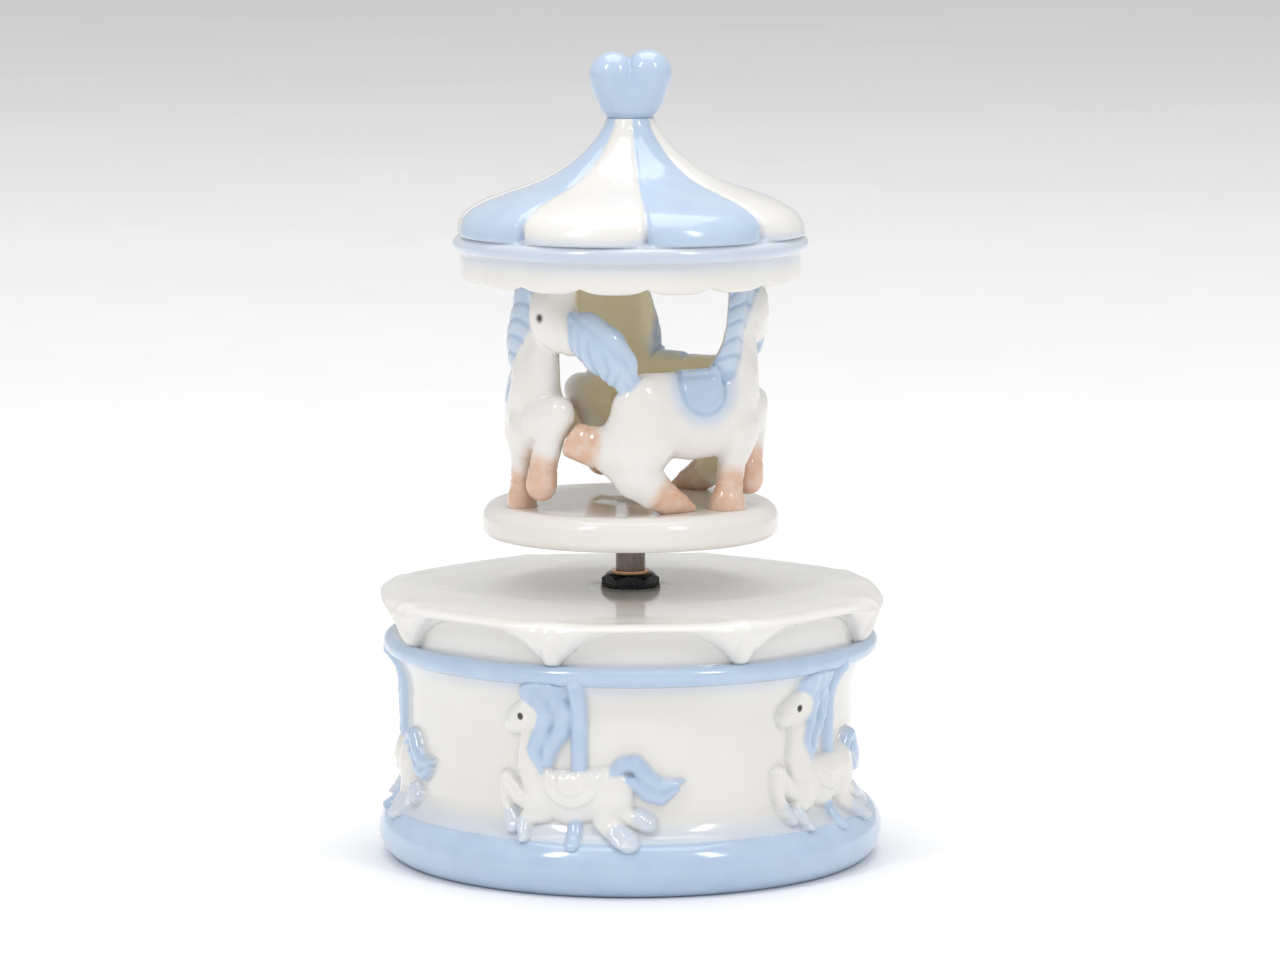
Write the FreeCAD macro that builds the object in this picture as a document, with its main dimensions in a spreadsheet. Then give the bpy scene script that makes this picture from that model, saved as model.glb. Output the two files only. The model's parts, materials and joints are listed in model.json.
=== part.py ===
"""Porcelain carousel music box, modelled as a parametric document.

A hollow porcelain drum holds a small clockwork movement. A spring barrel under the drum's deck turns
the carousel above it through a steel spindle, and drives a pinned cylinder that plays a steel comb.
A worm and fan govern the speed, and a butterfly key in the foot's recess winds the spring.

The origin is the centre of the foot ring, on the surface the box stands on. +Z is up and -Y is the front.
Angles round the carousel and the drum are measured from -Y towards +X. All sizes are millimetres.
"""
import FreeCAD, Part
import math
import os
import Sketcher
from FreeCAD import Placement, Rotation, Vector

doc = FreeCAD.newDocument("CarouselMusicBox")
sheet = doc.addObject("Spreadsheet::Sheet", "Dimensions")
nodes = []

DIMENSIONS = {
    # porcelain drum
    "foot_contact_radius": 46.5,
    "foot_inner_radius": 44.0,
    "foot_tube_radius": 6.0,
    "foot_groove_radius": 47.4,
    "foot_groove_height": 10.4,
    "cove_radius": 7.0,
    "cove_top_height": 16.5,
    "wall_radius": 44.0,
    "wall_inner_radius": 41.0,
    "flare_start_height": 34.0,
    "flare_radius": 11.0,
    "recess_radius": 42.6,
    "recess_height": 14.0,
    "bead_radius": 47.4,
    "bead_height": 43.0,
    "bead_tube_radius": 1.9,
    "frieze_radius": 46.6,
    "frieze_inner_radius": 43.0,
    "deck_height": 53.7,
    "deck_thickness": 3.5,
    "deck_corner_radius": 52.0,
    "deck_corner_round": 14.0,
    "deck_edge_round": 1.9,
    "deck_hole_radius": 4.6,
    "deck_phase": -18.5,
    "drape_count": 8,
    "drape_bottom": 44.95,
    "swag_radius": 34.4,
    "swag_height": 51.0,
    # carousel
    "turntable_radius": 29.6,
    "turntable_bottom": 64.3,
    "turntable_top": 71.0,
    "turntable_round": 2.0,
    "figure_inner_radius": 17.6,
    "figure_outer_radius": 27.6,
    "horse_count": 3,
    "roof_bottom": 115.0,
    "roof_ceiling": 117.2,
    "roof_rim_radius": 33.8,
    "roof_rim_thickness": 2.2,
    "roof_bead_radius": 33.8,
    "roof_bead_height": 122.6,
    "roof_bead_tube": 1.6,
    "roof_shoulder_arc": 9.0,
    "roof_sweep_arc": 31.4,
    "roof_neck_radius": 4.7,
    "roof_top": 147.4,
    "scallop_count": 16,
    "scallop_notch_radius": 1.7,
    "scallop_phase": 5.5,
    "heart_lobe_radius": 4.35,
    "heart_lobe_offset": 4.0,
    "heart_top": 160.9,
    # spindle and its fixing
    "spindle_radius": 1.5,
    "running_gap": 0.05,
    "ferrule_radius": 2.95,
    "ferrule_bottom": 57.0,
    "ferrule_top": 69.0,
    "bushing_radius": 4.0,
    "bushing_top": 56.6,
    "washer_radius": 5.9,
    "washer_thickness": 0.5,
    "nut_flats": 10.0,
    "nut_thickness": 2.3,
    "thrust_washer_thickness": 0.35,
    # movement
    "gasket_thickness": 1.0,
    "bedplate_thickness": 2.4,
    "bedplate_radius": 39.8,
    "barrel_radius": 11.2,
    "barrel_top": 45.6,
    "barrel_length": 13.0,
    "barrel_wall": 0.8,
    "crown_mean_radius": 13.5,
    "crown_face": 2.2,
    "wheel_thickness": 1.2,
    "great_wheel_teeth": 54,
    "pinion_teeth": 16,
    "pinion_pitch_radius": 4.0,
    "cylinder_radius": 5.3,
    "cylinder_start": 17.6,
    "cylinder_length": 14.4,
    "pin_height": 0.5,
    "train_module": 0.35,
    "cylinder_wheel_teeth": 34,
    "train_pinion_teeth": 10,
    "worm_wheel_teeth": 28,
    "train_face": 1.0,
    "comb_tooth_count": 18,
    "comb_thickness": 1.1,
    "bridge_bottom": 25.6,
    "bridge_thickness": 1.4,
    "arbor_radius": 1.6,
    # cover and key
    "cover_radius": 42.3,
    "cover_thickness": 2.0,
    "key_span": 22.0,
    "key_bottom": 2.5,
    "key_height": 7.5,
    "key_thickness": 1.6,
}

for row, (alias, value) in enumerate(DIMENSIONS.items(), 1):
    sheet.set(f"A{row}", alias)
    sheet.set(f"B{row}", str(value))
    sheet.setAlias(f"B{row}", alias)
doc.recompute()


def dim(alias):
    """The number that a cell of the sheet holds."""
    return float(getattr(sheet, alias))


def expression(text):
    """'{wall_radius} - 3' as an expression that reads the sheet."""
    return str(text).replace("{", "Dimensions.").replace("}", "")


def number(text):
    """The number that such an expression gives."""
    return float(sheet.evalExpression(expression(text)))


def bind(thing, **properties):
    """Binds an object's properties to the sheet. A double underscore in a name stands for a dot."""
    for name, text in properties.items():
        thing.setExpression(name.replace("__", "."), expression(text))
    return thing


def node(thing, label):
    """Marks an object as a sub-part that is written out under this label."""
    thing.Label = label
    nodes.append(thing)
    return thing


def primitive(kind, name, at=(0, 0, 0), turn=None, **sizes):
    """A Part primitive with bound sizes, at a bound place."""
    thing = doc.addObject("Part::" + kind, name)
    if turn is not None:
        thing.Placement = Placement(Vector(), turn)
    bind(thing, Placement__Base__x=at[0], Placement__Base__y=at[1], Placement__Base__z=at[2])
    return bind(thing, **sizes)


def cylinder(name, radius, height, at=(0, 0, 0), turn=None):
    return primitive("Cylinder", name, at, turn, Radius=radius, Height=height)


def box(name, low, size):
    return primitive("Box", name, low, None, Length=size[0], Width=size[1], Height=size[2])


def cut(name, base, tool):
    thing = doc.addObject("Part::Cut", name)
    thing.Base = base
    thing.Tool = tool
    return thing


def fuse(name, *pieces):
    thing = doc.addObject("Part::MultiFuse", name)
    thing.Shapes = list(pieces)
    return thing


def common(name, *pieces):
    thing = doc.addObject("Part::MultiCommon", name)
    thing.Shapes = list(pieces)
    return thing


def formed(name, shape, placement=None):
    """A sub-part whose shape is worked out in code from the sheet's numbers."""
    thing = doc.addObject("Part::Feature", name)
    thing.Shape = shape
    if placement is not None:
        thing.Placement = placement
    return thing


def turned(name, profile):
    """A body of revolution about Z. The profile is a closed ring of (radius, height, bend) in order:
    bend is None for a straight line to the next point, or that arc's signed radius, positive when
    the arc bulges to the right of the way it runs."""
    body = doc.addObject("PartDesign::Body", name)
    sketch = body.newObject("Sketcher::SketchObject", name + "_profile")
    plane = [item for item in body.Origin.OriginFeatures if item.Role == "XZ_Plane"][0]
    sketch.AttachmentSupport = (plane, "")
    sketch.MapMode = "FlatFace"
    points = [Vector(number(radius), number(height), 0) for radius, height, bend in profile]
    starts = []
    for index, (radius, height, bend) in enumerate(profile):
        here = points[index]
        there = points[(index + 1) % len(points)]
        if bend is None:
            geometry = sketch.addGeometry(Part.LineSegment(here, there), False)
            starts.append((geometry, 1, 2))
            continue
        size = abs(number(bend))
        chord = there - here
        side = Vector(chord.y, -chord.x, 0).normalize() * math.copysign(1, number(bend))
        rise = size - math.sqrt(size ** 2 - (chord.Length / 2) ** 2)
        middle = (here + there) * 0.5 + side * rise
        geometry = sketch.addGeometry(Part.Arc(here, middle, there), False)
        forward = number(bend) > 0
        starts.append((geometry, 1 if forward else 2, 2 if forward else 1))
    for index, (radius, height, bend) in enumerate(profile):
        geometry, start, end = starts[index]
        following = starts[(index + 1) % len(starts)]
        sketch.addConstraint(Sketcher.Constraint("Coincident", geometry, end, following[0], following[1]))
        for kind, text, axis in (("DistanceX", radius, -2), ("DistanceY", height, -1)):
            if abs(number(text)) < 1e-9:
                sketch.addConstraint(Sketcher.Constraint("PointOnObject", geometry, start, axis))
                continue
            place = sketch.addConstraint(Sketcher.Constraint(kind, -1, 1, geometry, start, number(text)))
            sketch.setExpression(f"Constraints[{place}]", expression(text))
        if bend is not None:
            place = sketch.addConstraint(Sketcher.Constraint("Radius", geometry, abs(number(bend))))
            sketch.setExpression(f"Constraints[{place}]", f"abs({expression(bend)})")
    revolution = body.newObject("PartDesign::Revolution", name + "_turning")
    revolution.Profile = sketch
    revolution.ReferenceAxis = (sketch, ["V_Axis"])
    revolution.Angle = 360
    body.Tip = revolution
    return body


def polar(radius, angle, z=0.0):
    """A point at an angle from -Y towards +X."""
    a = math.radians(angle)
    return Vector(radius * math.sin(a), -radius * math.cos(a), z)


def about_z(angle):
    return Rotation(Vector(0, 0, 1), angle)


ALONG_X = Rotation(Vector(0, 1, 0), 90)
ALONG_Y = Rotation(Vector(1, 0, 0), -90)


def capsule(start, end, start_radius, end_radius):
    """Two balls with the cone that is tangent to both, turned as one solid about the line between them."""
    way = end - start
    length = way.Length
    if length <= abs(start_radius - end_radius) + 1e-3:
        return Part.makeSphere(max(start_radius, end_radius), start if start_radius > end_radius else end)
    sine = (start_radius - end_radius) / length
    tilt = math.asin(sine)

    def on_ball(centre, radius, angle):
        return Vector(centre + radius * math.sin(angle), radius * math.cos(angle), 0)

    back = on_ball(0, start_radius, -math.pi / 2)
    low = on_ball(0, start_radius, tilt)
    high = on_ball(length, end_radius, tilt)
    front = on_ball(length, end_radius, math.pi / 2)
    rear_arc = Part.Arc(back, on_ball(0, start_radius, (tilt - math.pi / 2) / 2), low).toShape()
    front_arc = Part.Arc(high, on_ball(length, end_radius, (tilt + math.pi / 2) / 2), front).toShape()
    outline = Part.Wire([rear_arc, Part.makeLine(low, high), front_arc, Part.makeLine(front, back)])
    solid = Part.Face(outline).revolve(Vector(), Vector(1, 0, 0), 360)
    solid.Placement = Placement(start, Rotation(Vector(1, 0, 0), way))
    return solid


# Each capsule starts a little thinner than the last one ended, so that no two balls coincide.
STEP_DOWN = 0.96


def limbs(chains, surface=None):
    """Fuses chains of (angle, height, ball radius, centre radius). Where surface is given, each ball's
    outermost point stands proud of that radius by the last number instead."""
    pieces = []
    for chain in chains:
        points = []
        for angle, height, ball, depth in chain:
            reach = depth if surface is None else surface + depth - ball
            points.append((polar(reach, angle, height), ball))
        for (here, thick), (there, thin) in zip(points, points[1:]):
            pieces.append(capsule(here, there, thick * STEP_DOWN, thin))
    return pieces[0].multiFuse(pieces[1:])


# --- Porcelain drum ---------------------------------------------------------------------------------

drum_turning = turned("drum_turning", [
    ("{foot_inner_radius}", "0", None),
    ("{foot_contact_radius}", "0", "{foot_tube_radius}"),
    ("{foot_groove_radius}", "{foot_groove_height}", "-{cove_radius}"),
    ("{wall_radius}", "{cove_top_height}", None),
    ("{wall_radius}", "{flare_start_height}", "-{flare_radius}"),
    ("{bead_radius}", "{bead_height} - {bead_tube_radius}", "{bead_tube_radius} + 0.001"),
    ("{bead_radius}", "{bead_height} + {bead_tube_radius}", None),
    ("{frieze_radius}", "{bead_height} + {bead_tube_radius}", None),
    ("{frieze_radius}", "{deck_height} - 0.5", None),
    ("0", "{deck_height} - 0.5", None),
    ("0", "{deck_height} - {deck_thickness}", None),
    ("{frieze_inner_radius}", "{deck_height} - {deck_thickness}", None),
    ("{frieze_inner_radius}", "{bead_height}", None),
    ("{wall_inner_radius}", "{flare_start_height} + 4", None),
    ("{wall_inner_radius}", "{recess_height}", None),
    ("{recess_radius}", "{recess_height}", None),
    ("{recess_radius}", "1.2", None),
])

# The deck is an eight-cornered canopy top: a rounded octagon whose skirt hangs in swags between corners.
octagon = doc.addObject("Part::RegularPolygon", "deck_outline")
octagon.Placement = Placement(Vector(), about_z(dim("deck_phase") - 90))
bind(octagon, Polygon="{drape_count}", Circumradius="{deck_corner_radius}")
bind(octagon, Placement__Base__z="{drape_bottom}")
deck_block = doc.addObject("Part::Extrusion", "deck_block")
deck_block.Base = octagon
deck_block.DirMode = "Normal"
deck_block.Solid = True
bind(deck_block, LengthFwd="{deck_height} - {drape_bottom}")
doc.recompute()


def edges_where(thing, test):
    """Numbers of a shape's edges whose middle point passes the test."""
    found = []
    for index, edge in enumerate(thing.Shape.Edges, 1):
        middle = edge.valueAt((edge.FirstParameter + edge.LastParameter) / 2)
        if test(edge, middle):
            found.append(index)
    return found


def rounded(name, base, radius, test):
    """Rounds the edges that pass the test."""
    thing = doc.addObject("Part::Fillet", name)
    thing.Base = base
    thing.Edges = [(index, radius, radius) for index in edges_where(base, test)]
    doc.recompute()
    return thing


def upright(edge, middle):
    ends = [vertex.Point for vertex in edge.Vertexes]
    return len(ends) == 2 and abs(ends[0].z - ends[1].z) > 1


deck_corners = rounded("deck_corners", deck_block, dim("deck_corner_round"), upright)
deck_rounded = rounded("deck_rounded", deck_corners, dim("deck_edge_round"),
                       lambda edge, middle: abs(middle.z - dim("deck_height")) < 1e-6)
skirt_limit = turned("skirt_limit", [
    ("0", "{drape_bottom}", None),
    ("{bead_radius} + 0.9", "{drape_bottom}", None),
    ("{bead_radius} + 1.0", "{drape_bottom} + 2.4", None),
    ("{bead_radius} + 2.0", "{drape_bottom} + 4.6", None),
    ("{bead_radius} + 3.4", "{drape_bottom} + 6.4", None),
    ("{bead_radius} + 4.0", "{drape_bottom} + 7.4", None),
    ("{bead_radius} + 4.0", "{deck_height} + 1", None),
    ("0", "{deck_height} + 1", None),
])
deck_hollow = cylinder("deck_hollow", "{frieze_radius} - 0.5", "{deck_height} - {deck_thickness}")
swag_cutters = []
for index in range(int(dim("drape_count"))):
    angle = dim("deck_phase") + (index + 0.5) * 360 / dim("drape_count")
    cutter = doc.addObject("Part::Cylinder", f"swag_cutter_{index + 1}")
    outward = polar(1, angle)
    low = "{swag_height} - {swag_radius}"
    cutter.Placement = Placement(outward * 42, Rotation(Vector(0, 0, 1), outward))
    bind(cutter, Radius="{swag_radius}", Height="20", Placement__Base__z=low)
    swag_cutters.append(cutter)
deck_shape = cut("deck_shape", common("deck_limited", deck_rounded, skirt_limit),
                 fuse("deck_cutters", deck_hollow, *swag_cutters))
deck_hole = cylinder("deck_hole", "{deck_hole_radius}", "{deck_height} + 2")
base_drum = cut("drum_bored", fuse("drum_fused", drum_turning, deck_shape), deck_hole)
node(base_drum, "base_drum")

# Five horses in low relief gallop clockwise round the wall. Heights are from the ground and angles are
# from the pole of the horse's own saddle, so that one figure serves all five.
RELIEF_CHAINS = [
    [(9.0, 26.5, 3.6, 1.6), (0.0, 22.5, 4.2, 1.9), (-9.5, 23.5, 3.4, 1.7)],
    [(-9.5, 25.0, 3.0, 1.6), (-13.0, 30.5, 2.0, 1.5), (-15.5, 34.0, 1.8, 1.5)],
    [(-15.5, 34.5, 2.1, 1.6), (-18.6, 32.8, 1.5, 1.4)],
    [(-13.0, 22.0, 2.2, 1.5), (-18.4, 22.7, 1.4, 1.5), (-18.3, 17.3, 0.9, 1.1), (-16.4, 13.8, 1.2, 1.9)],
    [(-9.0, 19.0, 2.2, 1.4), (-12.0, 15.0, 1.0, 1.5), (-11.8, 12.3, 1.2, 2.6)],
    [(9.0, 22.5, 3.0, 1.5), (8.0, 15.8, 1.6, 1.4), (12.6, 13.4, 1.2, 2.2)],
    [(10.5, 24.0, 3.0, 1.5), (13.0, 19.0, 1.3, 1.3), (17.0, 14.6, 1.2, 2.0)],
    [(9.5, 27.5, 1.2, 1.3), (15.0, 30.0, 1.7, 1.5), (20.0, 27.0, 1.8, 1.5), (26.5, 25.4, 0.8, 1.1)],
    [(-9.5, 34.8, 1.2, 1.6), (-9.0, 29.5, 1.3, 1.7), (-5.0, 24.5, 1.2, 1.8)],
    [(1.6, 40.0, 1.5, 2.3), (1.6, 25.6, 1.5, 1.7)],
    [(0.8, 19.5, 1.4, 1.4), (0.8, 12.0, 1.4, 2.4)],
]
RELIEF_COUNT = 5
RELIEF_PHASE = -12.8
relief_pattern = formed("relief_pattern", limbs(RELIEF_CHAINS, dim("wall_radius")))
relief_wall = cylinder("relief_wall", "{wall_radius}", "{deck_height}")
relief_foot = primitive("Cone", "relief_foot", (0, 0, "{foot_groove_height} - 3"), None,
                        Radius1="{foot_groove_radius} + 1.4", Radius2="{wall_radius} - 0.3",
                        Height="{cove_top_height} - {foot_groove_height} + 3")
relief_flare = primitive("Cone", "relief_flare", (0, 0, "{flare_start_height}"), None,
                         Radius1="{wall_radius}", Radius2="{wall_radius} + 1.2", Height="4")
relief_brim = primitive("Cone", "relief_brim", (0, 0, "{flare_start_height} + 4"), None,
                        Radius1="{wall_radius} + 1.2", Radius2="{bead_radius} + 1", Height="4")
relief_trimmed = cut("relief_off_wall", relief_pattern, relief_wall)
for trimmer in (relief_foot, relief_flare, relief_brim):
    relief_trimmed = cut(f"{trimmer.Name}_trim", relief_trimmed, trimmer)
doc.recompute()
for index in range(RELIEF_COUNT):
    angle = RELIEF_PHASE + index * 360 / RELIEF_COUNT
    node(formed(f"relief_{index + 1}", relief_trimmed.Shape.copy(), Placement(Vector(), about_z(angle))),
         f"relief_horse_{index + 1}")

cover_disc = cylinder("cover_disc", "{cover_radius}", "{cover_thickness}",
                      (0, 0, "{recess_height} - {cover_thickness}"))
cover_hole = cylinder("cover_hole", "{arbor_radius} + 1.6", "{recess_height} + 1")
node(cut("cover_bored", cover_disc, cover_hole), "bottom_cover")

# --- Fixing of the movement under the deck ---------------------------------------------------------

DECK_UNDERSIDE = "({deck_height} - {deck_thickness})"
BEDPLATE_TOP = f"({DECK_UNDERSIDE} - {{gasket_thickness}})"
BEDPLATE_BOTTOM = f"({BEDPLATE_TOP} - {{bedplate_thickness}})"


def ring(label, outer, inner, bottom, height, inner_bottom="0"):
    """A plain ring about Z."""
    solid = cylinder(label + "_solid", outer, height, (0, 0, bottom))
    hole = cylinder(label + "_hole", inner, "{heart_top}", (0, 0, inner_bottom))
    return cut(label + "_ring", solid, hole)


node(ring("gasket", "{washer_radius} + 6", "{deck_hole_radius}", BEDPLATE_TOP, "{gasket_thickness}"),
     "gasket")
plate = box("bedplate_box", ("-16", "-19.5", BEDPLATE_BOTTOM), ("56", "39", "{bedplate_thickness}"))
plate_limit = cylinder("bedplate_limit", "{bedplate_radius}", "{deck_height}")
plate_hole = cylinder("bedplate_hole", "{bushing_radius}", "{deck_height}")
node(cut("bedplate_bored", common("bedplate_cut", plate, plate_limit), plate_hole), "bedplate")
node(ring("bushing", "{bushing_radius}", "{spindle_radius} + {running_gap}", BEDPLATE_BOTTOM,
          "{bushing_top} - " + BEDPLATE_BOTTOM), "threaded_bushing")
node(ring("washer", "{washer_radius}", "{bushing_radius} + {running_gap}", "{deck_height}",
          "{washer_thickness}"), "nut_washer")

nut_prism = doc.addObject("Part::Prism", "nut_prism")
bind(nut_prism, Polygon="6", Circumradius="{nut_flats} / sqrt(3)", Height="{nut_thickness}",
     Placement__Base__z="{deck_height} + {washer_thickness}")
nut_dome = primitive("Cone", "nut_dome", (0, 0, "{deck_height} + {washer_thickness}"), None,
                     Radius1="{nut_flats} / 2 + 1.9", Radius2="{nut_flats} / 2 - 0.4",
                     Height="{nut_thickness}")
nut_hole = cylinder("nut_hole", "{bushing_radius} + {running_gap}", "{heart_top}")
node(cut("nut_bored", common("nut_chamfered", nut_prism, nut_dome), nut_hole), "mounting_nut")

# --- Spring barrel, on the spindle's axis -----------------------------------------------------------

BARREL_BOTTOM = "({barrel_top} - {barrel_length})"
SPINDLE_BORE = "{spindle_radius} + {running_gap}"
ARBOR_BORE = "{arbor_radius} + {running_gap}"

drum_outside = cylinder("barrel_outside", "{barrel_radius}", "{barrel_length} - 1", (0, 0, BARREL_BOTTOM))
drum_inside = cylinder("barrel_inside", "{barrel_radius} - {barrel_wall}", "{barrel_length}",
                       (0, 0, BARREL_BOTTOM + " + 1"))
drum_bore = cylinder("barrel_bore", ARBOR_BORE, "{barrel_top}")
node(cut("barrel_cup", cut("barrel_open", drum_outside, drum_inside), drum_bore), "spring_barrel")
node(ring("cap", "{barrel_radius}", "{spindle_radius}", "{barrel_top} - 1", "1"), "barrel_cap")

SPRING_TURNS = 7
SPRING_STRIP = 0.35
spring_inner = dim("arbor_radius") + 0.4
spring_outer = dim("barrel_radius") - dim("barrel_wall") - 0.4


def spiral_points(offset):
    """Points of the coiled mainspring's strip, a constant distance apart from turn to turn."""
    steps = SPRING_TURNS * 16
    points = []
    for step in range(steps + 1):
        reach = spring_inner + (spring_outer - spring_inner - SPRING_STRIP) * step / steps + offset
        points.append(polar(reach, 360 * SPRING_TURNS * step / steps))
    return points


inside_line = Part.BSplineCurve()
inside_line.interpolate(spiral_points(0))
outside_line = Part.BSplineCurve()
outside_line.interpolate(spiral_points(SPRING_STRIP))
strip_ends = [Part.makeLine(inside_line.StartPoint, outside_line.StartPoint),
              Part.makeLine(inside_line.EndPoint, outside_line.EndPoint)]
strip_wire = Part.Wire(Part.__sortEdges__([inside_line.toShape(), outside_line.toShape()] + strip_ends))
strip_solid = Part.Face(strip_wire).extrude(Vector(0, 0, dim("barrel_length") - 3))
spring_place = Placement(Vector(0, 0, number(BARREL_BOTTOM) + 1.5), Rotation())
node(formed("mainspring_strip", strip_solid, spring_place), "mainspring")


def gear_outline(teeth, pitch_radius, add, ded, phase):
    """A closed outline of straight-sided teeth. Phase is the angle of one tooth's centre from +X."""
    step = 2 * math.pi / teeth
    points = []
    for tooth in range(teeth):
        centre = math.radians(phase) + tooth * step
        for radius, share in ((pitch_radius - ded, -0.29), (pitch_radius + add, -0.10),
                              (pitch_radius + add, 0.10), (pitch_radius - ded, 0.29)):
            angle = centre + share * step
            points.append(Vector(radius * math.cos(angle), radius * math.sin(angle), 0))
    return Part.makePolygon(points + points[:1])


def toothed_disc(teeth, module, thickness, bore, phase, placement, name):
    """A wheel about its own Z, with a bore."""
    face = Part.Face(gear_outline(teeth, module * teeth / 2, 0.85 * module, 1.2 * module, phase))
    wheel = face.extrude(Vector(0, 0, thickness))
    return formed(name, wheel.cut(Part.makeCylinder(bore, thickness)), placement)


crown_disc_bottom = number(BARREL_BOTTOM) - dim("wheel_thickness")
crown_outer = dim("crown_mean_radius") + dim("crown_face") / 2
crown_inner = dim("crown_mean_radius") - dim("crown_face") / 2
CROWN_TOOTH_HEIGHT = 1.05
CROWN_TOOTH_BASE = 0.70
CROWN_TOOTH_TIP = 0.34
PINION_ABOVE_CROWN_ROOT = 0.6


def crown_tooth(angle):
    """An upright tooth across the rim, wider at its root."""
    half_base = CROWN_TOOTH_BASE / 2
    half_tip = CROWN_TOOTH_TIP / 2
    section = [Vector(crown_inner, -half_base, -0.2), Vector(crown_inner, half_base, -0.2),
               Vector(crown_inner, half_tip, CROWN_TOOTH_HEIGHT),
               Vector(crown_inner, -half_tip, CROWN_TOOTH_HEIGHT)]
    face = Part.Face(Part.makePolygon(section + section[:1]))
    tooth = face.extrude(Vector(dim("crown_face"), 0, 0))
    tooth.Placement = Placement(Vector(0, 0, number(BARREL_BOTTOM)), about_z(angle))
    return tooth


crown_disc = Part.makeCylinder(crown_outer + 0.2, dim("wheel_thickness"), Vector(0, 0, crown_disc_bottom))
crown_count = int(dim("great_wheel_teeth"))
crown_teeth = [crown_tooth(360 * (index + 0.5) / crown_count) for index in range(crown_count)]
crown_bore = Part.makeCylinder(number(ARBOR_BORE), dim("wheel_thickness"), Vector(0, 0, crown_disc_bottom))
node(formed("great_crown", crown_disc.cut(crown_bore).multiFuse(crown_teeth)), "great_wheel")

SPINDLE_BOTTOM = "({barrel_top} - 1)"
node(cylinder("spindle_rod", "{spindle_radius}", "{ferrule_top} - " + SPINDLE_BOTTOM, (0, 0, SPINDLE_BOTTOM)),
     "spindle")
node(ring("thrust", "{bushing_radius} - 0.1", "{spindle_radius} + 0.02",
          "{ferrule_bottom} - {thrust_washer_thickness}", "{thrust_washer_thickness}"), "thrust_washer")
node(ring("ferrule", "{ferrule_radius}", "{spindle_radius} + 0.02", "{ferrule_bottom}",
          "{ferrule_top} - {ferrule_bottom}"), "spindle_ferrule")

# --- Pinned cylinder and comb -----------------------------------------------------------------------

cylinder_axis_height = number(BARREL_BOTTOM) + PINION_ABOVE_CROWN_ROOT + dim("pinion_pitch_radius")
AXIS = repr(cylinder_axis_height)
WHEEL_X = "({cylinder_start} + {cylinder_length} + 0.4)"
OUTER_BEARING_X = f"({WHEEL_X} + 3.0)"
INNER_BEARING_X = "({cylinder_start} - 1.9)"
PINION_X = "({crown_mean_radius} - {crown_face} / 2 + 0.1)"
ARBOR_BACK = "({crown_mean_radius} - {crown_face} / 2 - 0.3)"

node(cylinder("cylinder_rod", "1", f"{OUTER_BEARING_X} + 1.3 - {ARBOR_BACK}", (ARBOR_BACK, 0, AXIS), ALONG_X),
     "cylinder_arbor")
tube = cylinder("cylinder_tube", "{cylinder_radius}", "{cylinder_length}", ("{cylinder_start}", 0, AXIS),
                ALONG_X)
tube_bore = cylinder("cylinder_bore", "1.02", "60", (0, 0, AXIS), ALONG_X)
node(cut("cylinder_sleeve", tube, tube_bore), "music_cylinder")
pinion_module = 2 * dim("pinion_pitch_radius") / dim("pinion_teeth")
node(toothed_disc(int(dim("pinion_teeth")), pinion_module, 2.0, 1.02, 180,
                  Placement(Vector(number(PINION_X), 0, cylinder_axis_height), Rotation(Vector(0, 1, 0), 90)),
                  "crown_pinion"), "cylinder_pinion")

PINS_PER_TRACK = 4
PIN_RADIUS = 0.16
track_count = int(dim("comb_tooth_count"))
track_pitch = dim("cylinder_length") / track_count
pins = []
for track in range(track_count):
    for beat in range(PINS_PER_TRACK):
        turn = (track * 97 + beat * 83 + (track * beat * 31) % 37) % 360
        lift = Vector(0, -math.sin(math.radians(turn)), math.cos(math.radians(turn)))
        foot = Vector(dim("cylinder_start") + (track + 0.5) * track_pitch, 0, cylinder_axis_height)
        foot = foot + lift * (dim("cylinder_radius") - 0.01)
        pins.append(Part.makeCylinder(PIN_RADIUS, dim("pin_height"), foot, lift))
separate_pins = [pins[0]]
for pin in pins[1:]:
    centre = pin.BoundBox.Center
    if all(centre.distanceToPoint(other.BoundBox.Center) > 3 * PIN_RADIUS for other in separate_pins):
        separate_pins.append(pin)
node(formed("pins", Part.makeCompound(separate_pins)), "cylinder_pins")

COMB_TIP_GAP = 0.15
comb_tip = -(dim("cylinder_radius") + dim("pin_height") + COMB_TIP_GAP)
comb_root = comb_tip - 8.5
comb_heel = comb_root - 5.0
comb_low = cylinder_axis_height - dim("comb_thickness") / 2
comb_plate = Part.makeBox(dim("cylinder_length"), comb_root - comb_heel, dim("comb_thickness"),
                          Vector(dim("cylinder_start"), comb_heel, comb_low))
comb_pieces = []
for track in range(track_count):
    low = Vector(dim("cylinder_start") + track * track_pitch + 0.1, comb_root - 0.2, comb_low + 0.3)
    comb_pieces.append(Part.makeBox(track_pitch - 0.2, comb_tip - comb_root + 0.2, 0.5, low))
comb_screw_places = [dim("cylinder_start") + dim("cylinder_length") * share for share in (0.25, 0.75)]
comb_solid = comb_plate.multiFuse(comb_pieces)
comb_solid = comb_solid.cut(Part.makeCompound([
    Part.makeCylinder(0.85, 4, Vector(x, (comb_root + comb_heel) / 2, comb_low - 1)) for x in comb_screw_places]))
node(formed("comb_plate", comb_solid), "comb")
comb_block = Part.makeBox(dim("cylinder_length"), comb_root - comb_heel,
                          number(BEDPLATE_BOTTOM) - comb_low - dim("comb_thickness"),
                          Vector(dim("cylinder_start"), comb_heel, comb_low + dim("comb_thickness")))
comb_block = comb_block.cut(Part.makeCompound([
    Part.makeCylinder(0.85, 4, Vector(x, (comb_root + comb_heel) / 2, comb_low)) for x in comb_screw_places]))
node(formed("comb_rail", comb_block), "comb_rail")


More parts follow.
